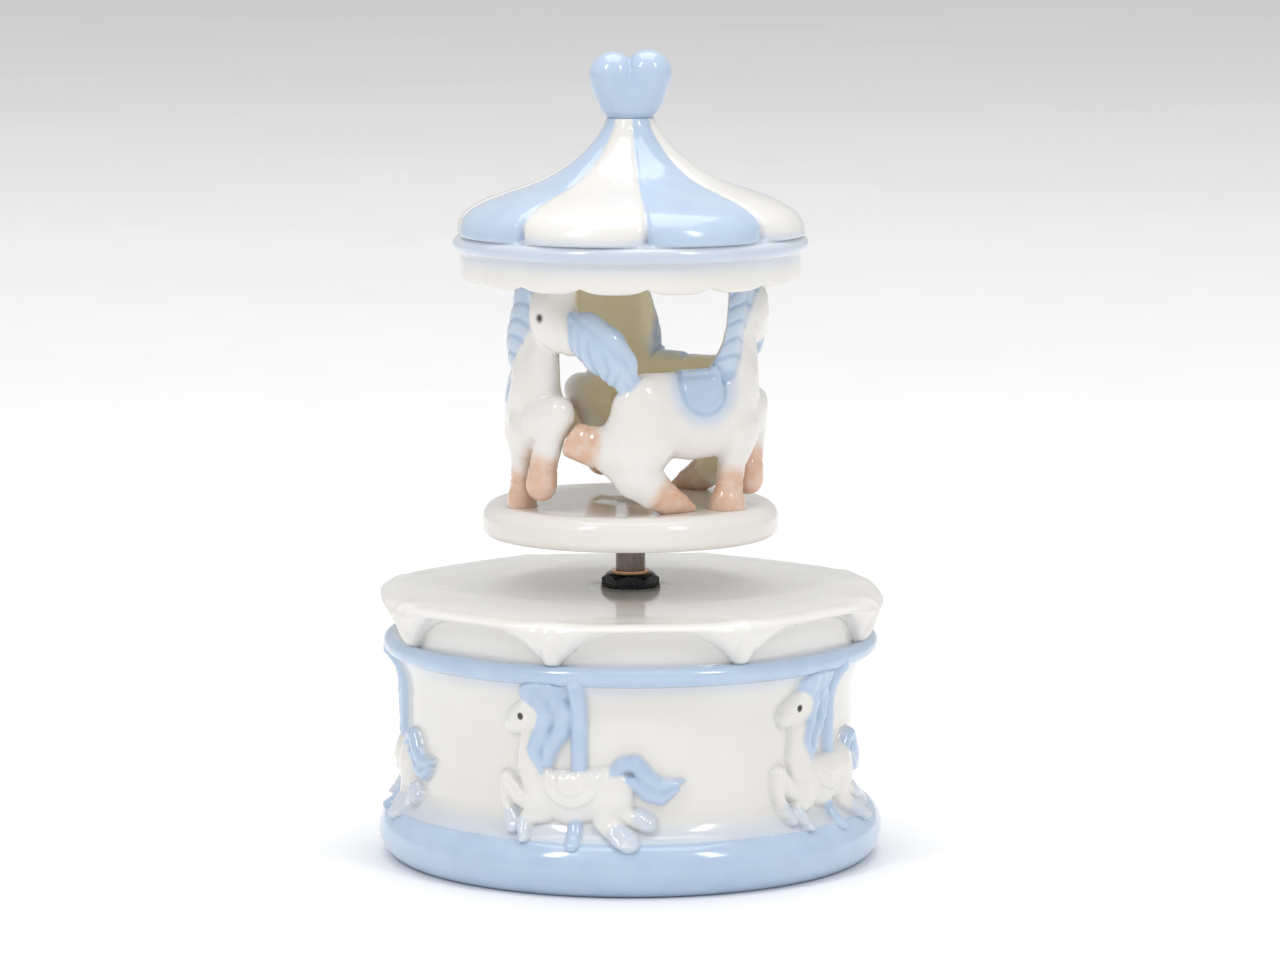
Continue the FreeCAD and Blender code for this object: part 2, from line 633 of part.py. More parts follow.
def screw(place, head_radius, head_height, shank_radius, shank_length, upward=True):
    """A slotted cheese-head screw whose head is seated at the place, with the shank along +Z or -Z."""
    way = Vector(0, 0, 1 if upward else -1)
    head = Part.makeCylinder(head_radius, head_height, place - way * head_height, way)
    shank = Part.makeCylinder(shank_radius, shank_length, place, way)
    slot = Part.makeBox(head_radius * 2.2, head_radius * 0.3, head_height * 0.4)
    bottom = head_height if upward else -head_height * 0.6
    slot.translate(place - Vector(head_radius * 1.1, head_radius * 0.15, bottom))
    return head.fuse(shank).cut(slot)


comb_screws = [screw(Vector(x, (comb_root + comb_heel) / 2, comb_low), 1.5, 0.9, 0.8, 4.0)
               for x in comb_screw_places]
node(formed("comb_screw_pair", Part.makeCompound(comb_screws)), "comb_screws")

BEARING_THICKNESS = 1.3


def bearing(name, label, x, y_low, y_high, holes):
    """A plate that hangs from the bedplate across X, with holes for arbors along X."""
    low = cylinder_axis_height - 2.6
    plate = Part.makeBox(BEARING_THICKNESS, y_high - y_low, number(BEDPLATE_BOTTOM) - low,
                         Vector(x, y_low, low))
    for y, radius in holes:
        hole = Part.makeCylinder(radius, BEARING_THICKNESS * 3, Vector(x - 1, y, cylinder_axis_height),
                                 Vector(1, 0, 0))
        plate = plate.cut(hole)
    node(formed(name, plate), label)


train_axis_y = dim("train_module") * (dim("cylinder_wheel_teeth") + dim("train_pinion_teeth")) / 2
TRAIN_ARBOR_RADIUS = 0.6
gap = dim("running_gap")
bearing("inner_bearing", "cylinder_bearing_inner", number(INNER_BEARING_X), -3, 3, [(0, 1 + gap)])
bearing("outer_bearing", "cylinder_bearing_outer", number(OUTER_BEARING_X), -3, train_axis_y + 2.4,
        [(0, 1 + gap), (train_axis_y, TRAIN_ARBOR_RADIUS + gap)])
bearing("train_bearing", "train_bearing", dim("cylinder_start") + dim("cylinder_length") - 4.5,
        train_axis_y - 1.6, train_axis_y + 1.8, [(train_axis_y, TRAIN_ARBOR_RADIUS + gap)])

# --- Governor train ---------------------------------------------------------------------------------

module = dim("train_module")
wheel_teeth = int(dim("cylinder_wheel_teeth"))
node(toothed_disc(wheel_teeth, module, dim("train_face"), 1.02, -90,
                  Placement(Vector(number(WHEEL_X), 0, cylinder_axis_height), Rotation(Vector(0, 1, 0), 90)),
                  "cylinder_end_wheel"), "cylinder_wheel")
train_start = dim("cylinder_start") + dim("cylinder_length") - 5.0
train_end = number(OUTER_BEARING_X) + BEARING_THICKNESS
node(formed("train_rod", Part.makeCylinder(TRAIN_ARBOR_RADIUS, train_end - train_start,
                                           Vector(train_start, train_axis_y, cylinder_axis_height),
                                           Vector(1, 0, 0))), "train_arbor")
node(toothed_disc(int(dim("train_pinion_teeth")), module, dim("train_face"), TRAIN_ARBOR_RADIUS + 0.01,
                  90 + 180 / dim("train_pinion_teeth"),
                  Placement(Vector(number(WHEEL_X), train_axis_y, cylinder_axis_height),
                            Rotation(Vector(0, 1, 0), 90)), "train_pinion_disc"), "train_pinion")
worm_wheel_x = number(WHEEL_X) + dim("train_face") + 0.4
node(toothed_disc(int(dim("worm_wheel_teeth")), module, dim("train_face"), TRAIN_ARBOR_RADIUS + 0.01, 0,
                  Placement(Vector(worm_wheel_x, train_axis_y, cylinder_axis_height),
                            Rotation(Vector(0, 1, 0), 90)), "worm_wheel_disc"), "worm_wheel")

WORM_CORE_RADIUS = 1.0
WORM_CLEARANCE = 0.2
worm_x = worm_wheel_x + dim("train_face") / 2
worm_y = train_axis_y + module * (dim("worm_wheel_teeth") / 2 + 0.85) + WORM_CORE_RADIUS + WORM_CLEARANCE
COCK_TOP = 43.4
COCK_BOTTOM = 25.8
COCK_ARM = 1.1
worm_shaft = Part.makeCylinder(0.5, COCK_TOP - COCK_BOTTOM - 0.4, Vector(worm_x, worm_y, COCK_BOTTOM + 0.2))
worm_core = Part.makeCylinder(WORM_CORE_RADIUS, 8.4, Vector(worm_x, worm_y, cylinder_axis_height - 4.2))
node(formed("worm_rod", worm_shaft.fuse(worm_core)), "worm_shaft")
FAN_BOTTOM = 27.6
fan_hub = Part.makeCylinder(1.1, 4.2, Vector(worm_x, worm_y, FAN_BOTTOM))
fan_blade = Part.makeBox(6.2, 0.35, 4.2, Vector(worm_x - 3.1, worm_y - 0.175, FAN_BOTTOM))
fan_bore = Part.makeCylinder(0.51, 4.2, Vector(worm_x, worm_y, FAN_BOTTOM))
node(formed("fan_blades", fan_hub.fuse(fan_blade).cut(fan_bore)), "governor_fan")
column_y = worm_y + 3.5
column = Part.makeBox(2.6, 1.1, number(BEDPLATE_BOTTOM) - COCK_BOTTOM,
                      Vector(worm_x - 1.7, column_y, COCK_BOTTOM))
arms = []
for low in (COCK_BOTTOM, COCK_TOP - COCK_ARM):
    arm = Part.makeBox(2.6, column_y - worm_y + 1.8, COCK_ARM, Vector(worm_x - 1.7, worm_y - 1.2, low))
    arms.append(arm.cut(Part.makeCylinder(0.5 + gap, 3, Vector(worm_x, worm_y, low - 1))))
node(formed("governor_bracket", column.multiFuse(arms)), "governor_cock")

# --- Barrel bridge, ratchet and winding arbor -------------------------------------------------------

BRIDGE_TOP = "({bridge_bottom} + {bridge_thickness})"
PILLAR_PLACES = [(-13.0, -13.0), (-13.0, 13.0), (10.5, -14.2), (10.5, 14.2)]
PILLAR_RADIUS = 1.9
SCREW_SHANK = 0.9
bridge_plate = Part.makeBox(28.0, 32.4, dim("bridge_thickness"), Vector(-15.2, -16.2, dim("bridge_bottom")))
bridge_holes = [Part.makeCylinder(number(ARBOR_BORE), 4, Vector(0, 0, dim("bridge_bottom") - 1))]
for x, y in PILLAR_PLACES:
    bridge_holes.append(Part.makeCylinder(SCREW_SHANK + 0.05, 4, Vector(x, y, dim("bridge_bottom") - 1)))
node(formed("bridge_plate", bridge_plate.cut(Part.makeCompound(bridge_holes))), "barrel_bridge")
pillars = []
pillar_screws = []
for x, y in PILLAR_PLACES:
    pillar = Part.makeCylinder(PILLAR_RADIUS, number(BEDPLATE_BOTTOM) - number(BRIDGE_TOP),
                               Vector(x, y, number(BRIDGE_TOP)))
    pillars.append(pillar.cut(Part.makeCylinder(SCREW_SHANK + 0.05, 4, Vector(x, y, number(BRIDGE_TOP)))))
    pillar_screws.append(screw(Vector(x, y, dim("bridge_bottom")), 1.7, 1.1, SCREW_SHANK, 4.4))
node(formed("pillar_set", Part.makeCompound(pillars)), "bridge_pillars")
node(formed("pillar_screw_set", Part.makeCompound(pillar_screws)), "bridge_screws")

RATCHET_TEETH = 24
RATCHET_TIP = 5.4
RATCHET_ROOT = 4.6
ratchet_points = []
for index in range(RATCHET_TEETH):
    start = 2 * math.pi * index / RATCHET_TEETH
    ratchet_points.append(Vector(RATCHET_ROOT * math.cos(start), RATCHET_ROOT * math.sin(start), 0))
    ratchet_points.append(Vector(RATCHET_TIP * math.cos(start), RATCHET_TIP * math.sin(start), 0))
ratchet_face = Part.Face(Part.makePolygon(ratchet_points + ratchet_points[:1]))
ratchet_bore = Part.makeCylinder(dim("arbor_radius") + 0.02, 1.2)
ratchet_solid = ratchet_face.extrude(Vector(0, 0, 1.2)).cut(ratchet_bore)
ratchet_place = Placement(Vector(0, 0, number(BRIDGE_TOP) + 0.6), Rotation())
node(formed("ratchet_disc", ratchet_solid, ratchet_place), "ratchet_wheel")

CLICK_PIVOT = Vector(-10.0, 0, 0)
click_low = number(BRIDGE_TOP) + 0.6
click_boss = Part.makeCylinder(1.8, 1.2, CLICK_PIVOT + Vector(0, 0, click_low))
click_points = [(-10.4, 1.4), (-8.6, 1.2), (-5.75, 0.5), (-5.75, -0.2), (-8.6, -0.9), (-10.4, -1.0)]
click_outline = [Vector(x, y, click_low) for x, y in click_points]
click_arm = Part.Face(Part.makePolygon(click_outline + click_outline[:1])).extrude(Vector(0, 0, 1.2))
click_hole = Part.makeCylinder(0.75, 4, CLICK_PIVOT + Vector(0, 0, click_low - 1))
node(formed("click_lever", click_boss.fuse(click_arm).cut(click_hole)), "ratchet_click")
click_screw_solid = screw(CLICK_PIVOT + Vector(0, 0, click_low + 1.2), 1.3, 0.8, 0.7, 1.8, upward=False)
node(formed("click_pivot_screw", click_screw_solid), "click_screw")

ARBOR_TOP = "({barrel_top} - 1.6)"
node(cylinder("winding_rod", "{arbor_radius}", ARBOR_TOP + " - {key_bottom} - 2", (0, 0, "{key_bottom} + 2")),
     "winding_arbor")
key_hub = cylinder("key_hub", "3", "{key_height} + 1.5", (0, 0, "{key_bottom}"))
key_wings = box("key_wings", ("-{key_span} / 2", "-{key_thickness} / 2", "{key_bottom}"),
                ("{key_span}", "{key_thickness}", "{key_height}"))
doc.recompute()
key_rounded = rounded("key_rounded", key_wings, dim("key_height") * 0.42,
                      lambda edge, middle: abs(abs(middle.x) - dim("key_span") / 2) < 1e-6
                      and abs(middle.y) < 1e-6 and middle.z != 0)
key_windows = [cylinder(f"key_window_{side}", "1.8", "10", (place, "-5", "{key_bottom} + {key_height} / 2"),
                        ALONG_Y)
               for side, place in (("left", "-{key_span} / 2 + 3.9"), ("right", "{key_span} / 2 - 3.9"))]
key_bore = cylinder("key_bore", "{arbor_radius} + 0.02", "20", (0, 0, "{key_bottom} + 2"))
node(cut("key_cut", fuse("key_fused", key_hub, key_rounded), fuse("key_cutters", key_bore, *key_windows)),
     "winding_key")

# --- Turntable, horses, roof and finial -------------------------------------------------------------

turntable_disc = cylinder("turntable_disc", "{turntable_radius}", "{turntable_top} - {turntable_bottom}",
                          (0, 0, "{turntable_bottom}"))
doc.recompute()
turntable_rounded = rounded("turntable_rounded", turntable_disc, dim("turntable_round"),
                            lambda edge, middle: edge.Closed)
turntable_bore = cylinder("turntable_bore", "{ferrule_radius} + 0.02",
                          "{ferrule_top} + 0.05", (0, 0, 0))
node(cut("turntable_bored", turntable_rounded, turntable_bore), "turntable")

# One galloping horse. Each chain runs (angle, height, ball radius, centre radius), and the figure is then
# trimmed to a ring-shaped shell between the turntable and the roof.
HORSE_CHAINS = [
    [(3, 91.5, 7.6, 18.9), (20, 91.0, 8.4, 17.4), (37, 90.8, 8.8, 16.6), (56, 91.2, 8.2, 18.0),
     (74, 92.0, 7.0, 19.8)],
    [(66, 98, 6.0, 21.0), (66, 105, 5.6, 21.4), (70, 112, 5.6, 21.8), (72, 119, 5.4, 21.8)],
    [(75, 109.5, 4.9, 22.6), (84, 107.0, 4.2, 23.4), (90.5, 105.6, 3.3, 24.3)],
    [(50, 98.5, 3.2, 22.0), (56, 105.0, 3.6, 22.2), (62, 112.0, 4.2, 22.4), (66, 119, 4.4, 22.6)],
    [(0, 97.0, 3.0, 23.6), (-7, 101.0, 3.3, 24.4), (-13.5, 104.6, 2.3, 24.8)],
    [(2, 89.5, 6.4, 20.6), (-12, 84.8, 4.0, 22.8), (-19, 84.5, 3.2, 23.8), (-25.5, 84.6, 2.3, 24.8)],
    [(6, 86.0, 6.2, 20.4), (8, 80.0, 4.6, 21.4), (13, 76.0, 3.2, 22.4), (24, 73.8, 2.4, 23.2),
     (33, 72.4, 1.4, 23.8)],
    [(76, 91, 5.6, 20.8), (86, 91.6, 3.8, 22.8), (80, 85, 2.9, 22.8), (76, 79.5, 3.0, 22.4),
     (75.5, 76.0, 2.8, 22.4)],
    [(60, 86, 4.6, 20.2), (56, 79, 2.8, 21.9), (55, 71.5, 3.2, 22.2)],
]
horse_shell = Part.makeCylinder(dim("figure_outer_radius"), dim("roof_ceiling") - dim("turntable_top"),
                                Vector(0, 0, dim("turntable_top")))
horse_shell = horse_shell.cut(Part.makeCylinder(dim("figure_inner_radius"), dim("roof_ceiling")))
horse_shape = limbs(HORSE_CHAINS).common(horse_shell)
for index in range(int(dim("horse_count"))):
    turn = Placement(Vector(), about_z(index * 360 / dim("horse_count")))
    node(formed(f"carousel_figure_{index + 1}", horse_shape.copy(), turn), f"horse_{index + 1}")

roof_turning = turned("roof_turning", [
    ("{roof_rim_radius} - {roof_rim_thickness}", "{roof_bottom}", None),
    ("{roof_rim_radius}", "{roof_bottom}", None),
    ("{roof_rim_radius}", "{roof_bead_height} - {roof_bead_tube}", "{roof_bead_tube} + 0.001"),
    ("{roof_bead_radius}", "{roof_bead_height} + {roof_bead_tube}", None),
    ("{roof_bead_radius} + 1.0", "{roof_bead_height} + {roof_bead_tube} + 0.7", "{roof_shoulder_arc}"),
    ("27.5", "131.8", "-{roof_sweep_arc}"),
    ("{roof_neck_radius}", "{roof_top}", None),
    ("0", "{roof_top}", None),
    ("0", "{roof_ceiling}", None),
    ("{roof_rim_radius} - {roof_rim_thickness}", "{roof_ceiling}", None),
])
notches = []
for index in range(int(dim("scallop_count"))):
    outward = polar(1, dim("scallop_phase") + index * 360 / dim("scallop_count"))
    notch = doc.addObject("Part::Cylinder", f"roof_notch_{index + 1}")
    notch.Placement = Placement(outward * 30.5, Rotation(Vector(0, 0, 1), outward))
    bind(notch, Radius="{scallop_notch_radius}", Height="8", Placement__Base__z="{roof_bottom}")
    notches.append(notch)
node(cut("roof_scalloped", roof_turning, fuse("roof_notches", *notches)), "roof")

lobe = dim("heart_lobe_radius")
lobe_height = dim("heart_top") - lobe
side = dim("heart_lobe_offset")
heart_neck = Part.makeCylinder(dim("roof_neck_radius"), 2.0, Vector(0, 0, dim("roof_top")))
heart_middle = capsule(Vector(0, 0, dim("roof_top") + 3.6), Vector(0, 0, lobe_height - 3.2), 3.6, lobe)
heart_pieces = [heart_neck, heart_middle]
for x in (-side, side):
    heart_pieces.append(capsule(Vector(x, 0, lobe_height), Vector(x * 0.2, 0, dim("roof_top") + 3.8),
                                lobe, 3.8))
heart = heart_pieces[0].multiFuse(heart_pieces[1:])
above = Part.makeCylinder(30, 40, Vector(0, 0, dim("roof_top")))
node(formed("heart", heart.common(above)), "heart_finial")

# --- Check and write --------------------------------------------------------------------------------

doc.recompute()
failed = [thing.Name for thing in doc.Objects if {"Invalid", "Error"} & set(thing.State)]
assert not failed, failed
os.makedirs("parts", exist_ok=True)
for thing in nodes:
    assert not thing.Shape.isNull() and thing.Shape.isValid(), thing.Label
    thing.Shape.exportStep(os.path.join("parts", thing.Label + ".step"))
    bounds = thing.Shape.optimalBoundingBox()
    print(f"{thing.Label:24s} {len(thing.Shape.Solids):3d} solids {thing.Shape.Volume:10.1f} mm3 "
          f"z {bounds.ZMin:7.2f} {bounds.ZMax:7.2f}  x {bounds.XMin:7.2f} {bounds.XMax:7.2f}")
print(len(nodes), "nodes")
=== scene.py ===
"""Porcelain carousel music box: the looks of the object, built round its CAD frame.

Sizes are in millimetres and turned into metres when a mesh is made. Angles round the box are in
degrees from the front (-Y) towards the right (+X), so the horses run towards growing angles.
"""
import json
import math

import bpy
import numpy as np
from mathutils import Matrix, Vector


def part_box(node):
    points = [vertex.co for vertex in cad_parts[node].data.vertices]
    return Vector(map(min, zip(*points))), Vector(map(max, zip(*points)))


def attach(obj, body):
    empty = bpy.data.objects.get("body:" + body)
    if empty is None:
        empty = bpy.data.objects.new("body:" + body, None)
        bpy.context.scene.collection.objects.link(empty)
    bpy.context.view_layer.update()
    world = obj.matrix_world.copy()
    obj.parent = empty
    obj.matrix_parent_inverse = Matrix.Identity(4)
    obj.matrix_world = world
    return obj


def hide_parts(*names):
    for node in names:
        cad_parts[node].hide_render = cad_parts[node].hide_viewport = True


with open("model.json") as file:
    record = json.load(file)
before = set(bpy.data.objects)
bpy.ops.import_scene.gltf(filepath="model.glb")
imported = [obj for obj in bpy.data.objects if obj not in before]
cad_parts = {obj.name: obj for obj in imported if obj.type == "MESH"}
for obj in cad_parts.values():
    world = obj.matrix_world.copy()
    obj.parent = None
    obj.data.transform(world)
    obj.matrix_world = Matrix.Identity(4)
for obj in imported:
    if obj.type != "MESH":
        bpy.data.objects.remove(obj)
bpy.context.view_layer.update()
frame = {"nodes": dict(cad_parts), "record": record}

MM = 0.001


def height_range(node):
    """Lowest and highest point of a CAD node, in millimetres."""
    low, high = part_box(node)
    return low.z / MM, high.z / MM


def reach(node):
    """Half of a CAD node's width, in millimetres."""
    low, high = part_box(node)
    return (high.x - low.x) / 2 / MM


# --- Small numeric helpers ---

def smooth_step(value, low, high):
    """0 at low and 1 at high, eased at both ends. Low may be the larger of the two."""
    t = np.clip((value - low) / (high - low), 0, 1)
    return t * t * (3 - 2 * t)


def smooth_min(a, b, blend):
    h = np.maximum(blend - np.abs(a - b), 0) / blend
    return np.minimum(a, b) - h * h * blend / 4


def smooth_max(a, b, blend):
    return -smooth_min(-a, -b, blend)


def bump(value, width):
    """A bell curve that is 1 where the value is 0."""
    return np.exp(-(value / width) ** 2)


def merged(a, b):
    """The larger of two heights, rounded where they meet and zero where both are."""
    return (a ** 5 + b ** 5) ** 0.2


def to_round(points):
    """Turns (angle, height, radius) columns into x, y, z."""
    angle = np.radians(points[:, 0])
    radius = points[:, 2]
    return np.stack([radius * np.sin(angle), -radius * np.cos(angle), points[:, 1]], 1)


def arc(start, end, radius, steps):
    """Points of an arc from start to end. A positive radius bulges to the right of its way."""
    start, end = np.array(start, float), np.array(end, float)
    chord = end - start
    half = np.linalg.norm(chord) / 2
    right = np.array([chord[1], -chord[0]]) / (2 * half)
    side = math.copysign(1, radius)
    centre = (start + end) / 2 - side * right * math.sqrt(radius ** 2 - half ** 2)
    first = math.atan2(*(start - centre)[::-1])
    last = math.atan2(*(end - centre)[::-1])
    turn = (last - first + math.pi) % (2 * math.pi) - math.pi
    found = first + turn * np.linspace(0, 1, steps)
    return [tuple(centre + abs(radius) * np.array([math.cos(a), math.sin(a)])) for a in found]


def curve(knots, steps):
    """A smooth line through all the knots, with so many steps between each two."""
    before = 2 * np.array(knots[0]) - knots[1]
    after = 2 * np.array(knots[-1]) - knots[-2]
    knots = np.array([before] + list(knots) + [after])
    found = []
    for a, b, c, d in zip(knots, knots[1:], knots[2:], knots[3:]):
        for t in np.arange(steps) / steps:
            found.append(tuple(0.5 * (2 * b + (c - a) * t + (2 * a - 5 * b + 4 * c - d) * t ** 2
                                      + (3 * b - a - 3 * c + d) * t ** 3)))
    return found + [tuple(knots[-2])]


def bezier(points, t):
    a, b, c, d = points
    return a * (1 - t) ** 3 + 3 * b * t * (1 - t) ** 2 + 3 * c * t * t * (1 - t) + d * t ** 3


def from_nearest(angle, phase, count):
    """Signed degrees from the nearest of so many evenly spaced lines, and the share of the way
    to the middle between two lines, from 0 to 1."""
    step = 360 / count
    offset = (angle - phase + step / 2) % step - step / 2
    return offset, np.abs(offset) / (step / 2)


# --- Meshes ---

def make_piece(name, points, faces, material, body, replaced, paint):
    """A smooth mesh from millimetre points and quads, with its paint layers as point attributes."""
    mesh = bpy.data.meshes.new(name)
    mesh.from_pydata((np.asarray(points) * MM).tolist(), [], np.asarray(faces).tolist())
    mesh.polygons.foreach_set("use_smooth", [True] * len(mesh.polygons))
    for layer, amount in paint.items():
        attribute = mesh.attributes.new(layer, "FLOAT", "POINT")
        attribute.data.foreach_set("value", np.asarray(amount, dtype=np.float32))
    mesh.materials.append(material)
    mesh.update()
    piece = bpy.data.objects.new(name, mesh)
    bpy.context.scene.collection.objects.link(piece)
    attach(piece, body)
    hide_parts(*replaced)


def ring_faces(rows, columns, closed_rows=True):
    """Quads between stations (rows) round a full turn (columns). The last row joins the first
    where the rows are closed."""
    used_rows = rows if closed_rows else rows - 1
    r, c = np.meshgrid(np.arange(used_rows), np.arange(columns), indexing="ij")
    near, far = r * columns, (r + 1) % rows * columns
    c2 = (c + 1) % columns
    return np.stack([near + c, near + c2, far + c2, far + c], -1).reshape(-1, 4)


ROUND_COLUMNS = 720
angles = np.arange(ROUND_COLUMNS) * 360 / ROUND_COLUMNS
ones = np.ones(ROUND_COLUMNS)


class Outline:
    """The stations of a turned piece, and how strong one paint layer is at each. A station's
    radius, height and tint may be single values or vary round the turn."""

    def __init__(self, layer):
        self.layer = layer
        self.stations = []
        self.tints = []

    def add(self, radius, height, tint=0.0):
        self.stations.append((ones * radius, ones * height))
        self.tints.append(ones * tint)


def turned_piece(name, outline, body, node):
    """A closed ring-shaped porcelain skin in place of a CAD node."""
    points = np.concatenate([
        to_round(np.stack([angles, height, radius], 1)) for radius, height in outline.stations])
    faces = ring_faces(len(outline.stations), ROUND_COLUMNS)
    paint = {outline.layer: np.concatenate(outline.tints)}
    make_piece(name, points, faces, porcelain, body, [node], paint)


# --- Modelling with a field of distances ---

CORNERS = [(i, j, k) for i in (0, 1) for j in (0, 1) for k in (0, 1)]
FAR_AWAY = 50


def shifted(values, corner):
    """The grid's values at one corner of every cell."""
    i, j, k = corner
    nx, ny, nz = values.shape
    return values[i:nx - 1 + i, j:ny - 1 + j, k:nz - 1 + k]


class Clay:
    """A solid on a grid, as signed distances in millimetres, that shapes are pressed onto."""

    def __init__(self, low, high, pitch):
        self.low = np.array(low, float)
        self.pitch = pitch
        counts = [int(math.ceil((last - first) / pitch)) + 1 for first, last in zip(low, high)]
        axes = [first + pitch * np.arange(n) for first, n in zip(low, counts)]
        grids = np.meshgrid(*axes, indexing="ij")
        self.x, self.y, self.z = [grid.astype(np.float32) for grid in grids]
        self.distance = np.full(self.x.shape, FAR_AWAY, np.float32)

    def limb(self, knots, depth, flat=1.0):
        """Distance to a chain of tapering rods. A knot is (x, y, radius). The rods lie at a depth
        along Z, where they are thinner by the factor flat."""
        found = None
        z = (self.z - depth) / flat
        for (x0, y0, r0), (x1, y1, r1) in zip(knots, knots[1:]):
            ax, ay = x1 - x0, y1 - y0
            run_squared = max(ax * ax + ay * ay, 1e-6)
            t = np.clip(((self.x - x0) * ax + (self.y - y0) * ay) / run_squared, 0, 1)
            away = np.sqrt((self.x - x0 - t * ax) ** 2 + (self.y - y0 - t * ay) ** 2 + z * z)
            part = away - (r0 + t * (r1 - r0))
            found = part if found is None else np.minimum(found, part)
        return found

    def along(self, knots):
        """Length travelled along a chain, and the signed side step away from it."""
        best = np.full(self.x.shape, 1e9, np.float32)
        length = np.zeros_like(best)
        side = np.zeros_like(best)
        travelled = 0.0
        for (x0, y0, _), (x1, y1, _) in zip(knots, knots[1:]):
            ax, ay = x1 - x0, y1 - y0
            run = math.hypot(ax, ay)
            t = np.clip(((self.x - x0) * ax + (self.y - y0) * ay) / run ** 2, 0, 1)
            dx, dy = self.x - x0 - t * ax, self.y - y0 - t * ay
            away = dx * dx + dy * dy
            nearer = away < best
            best = np.where(nearer, away, best)
            length = np.where(nearer, travelled + t * run, length)
            side = np.where(nearer, (dx * ay - dy * ax) / run, side)
            travelled += run
        return length, side

    def side_of(self, point, normal):
        """Distance from a plane, positive on the side that its normal points to."""
        return (self.x - point[0]) * normal[0] + (self.y - point[1]) * normal[1]

    def add(self, shape, blend):
        self.distance = smooth_min(self.distance, shape, blend)

    def keep(self, shape, blend):
        """Keeps only what lies inside a shape."""
        self.distance = smooth_max(self.distance, shape, blend)

    def cut(self, shape, blend):
        self.keep(-shape, blend)

    def sink(self, depth):
        """Lowers the surface by a depth that may vary over it. A negative depth raises it."""
        self.distance = self.distance + depth

    def skin(self, layers):
        """The surface as points and quads, and each layer's values at the points."""
        inside = self.distance < 0
        filled = sum(shifted(inside, corner).astype(np.int8) for corner in CORNERS)
        active = (filled > 0) & (filled < len(CORNERS))
        cells = np.argwhere(active)
        number = np.full(active.shape, -1, np.int64)
        number[active] = np.arange(len(cells))
        points = self.low + (cells + self.surface_in(cells)) * self.pitch
        return points, self.quads(inside, number), self.sampled(layers, points)

    def surface_in(self, cells):
        """The mean place, within each cell, at which the surface crosses the cell's edges."""
        total = np.zeros((len(cells), 3))
        crossings = np.zeros(len(cells))
        for a in CORNERS:
            for axis in range(3):
                if a[axis]:
                    continue
                b = tuple(v + (1 if n == axis else 0) for n, v in enumerate(a))
                at_a = self.distance[tuple(cells[:, n] + a[n] for n in range(3))]
                at_b = self.distance[tuple(cells[:, n] + b[n] for n in range(3))]
                hit = (at_a < 0) != (at_b < 0)
                share = np.where(hit, at_a / np.where(hit, at_a - at_b, 1), 0)
                place = np.repeat(np.array(a, float)[None], len(cells), 0)
                place[:, axis] += share
                total += place * hit[:, None]
                crossings += hit
        return total / crossings[:, None]

    def quads(self, inside, number):
        """One quad round every grid edge that the surface crosses, facing outward."""
        found = []
        for axis in range(3):
            u, v = (axis + 1) % 3, (axis + 2) % 3
            start = [slice(1, n - 1) for n in inside.shape]
            start[axis] = slice(0, inside.shape[axis] - 1)
            following = list(start)
            following[axis] = slice(1, inside.shape[axis])
            first = inside[tuple(start)]
            second = inside[tuple(following)]
            for solid_first in (True, False):
                edge = np.argwhere(first & ~second if solid_first else ~first & second)
                edge[:, u] += 1
                edge[:, v] += 1
                ring = []
                for du, dv in ((-1, -1), (0, -1), (0, 0), (-1, 0)):
                    cell = edge.copy()
                    cell[:, u] += du
                    cell[:, v] += dv
                    ring.append(number[cell[:, 0], cell[:, 1], cell[:, 2]])
                if not solid_first:
                    ring = ring[::-1]
                found.append(np.stack(ring, 1))
        return np.concatenate(found)

    def sampled(self, layers, points):
        """Each layer's values at the points, mixed from the corners of the cells they lie in."""
        whole = np.floor((points - self.low) / self.pitch).astype(int)
        whole = np.minimum(whole, np.array(self.distance.shape) - 2)
        part = (points - self.low) / self.pitch - whole
        found = {}
        for name, values in layers.items():
            mixed = 0
            for corner in CORNERS:
                weight = np.prod([part[:, n] if corner[n] else 1 - part[:, n] for n in range(3)], 0)
                at = whole + np.array(corner)
                mixed = mixed + weight * values[at[:, 0], at[:, 1], at[:, 2]]
            found[name] = mixed
        return found


# --- Materials ---

# Socket numbers of the Mix node for colours.
MIX_FACTOR, MIX_FIRST, MIX_SECOND, MIX_RESULT = 0, 6, 7, 2


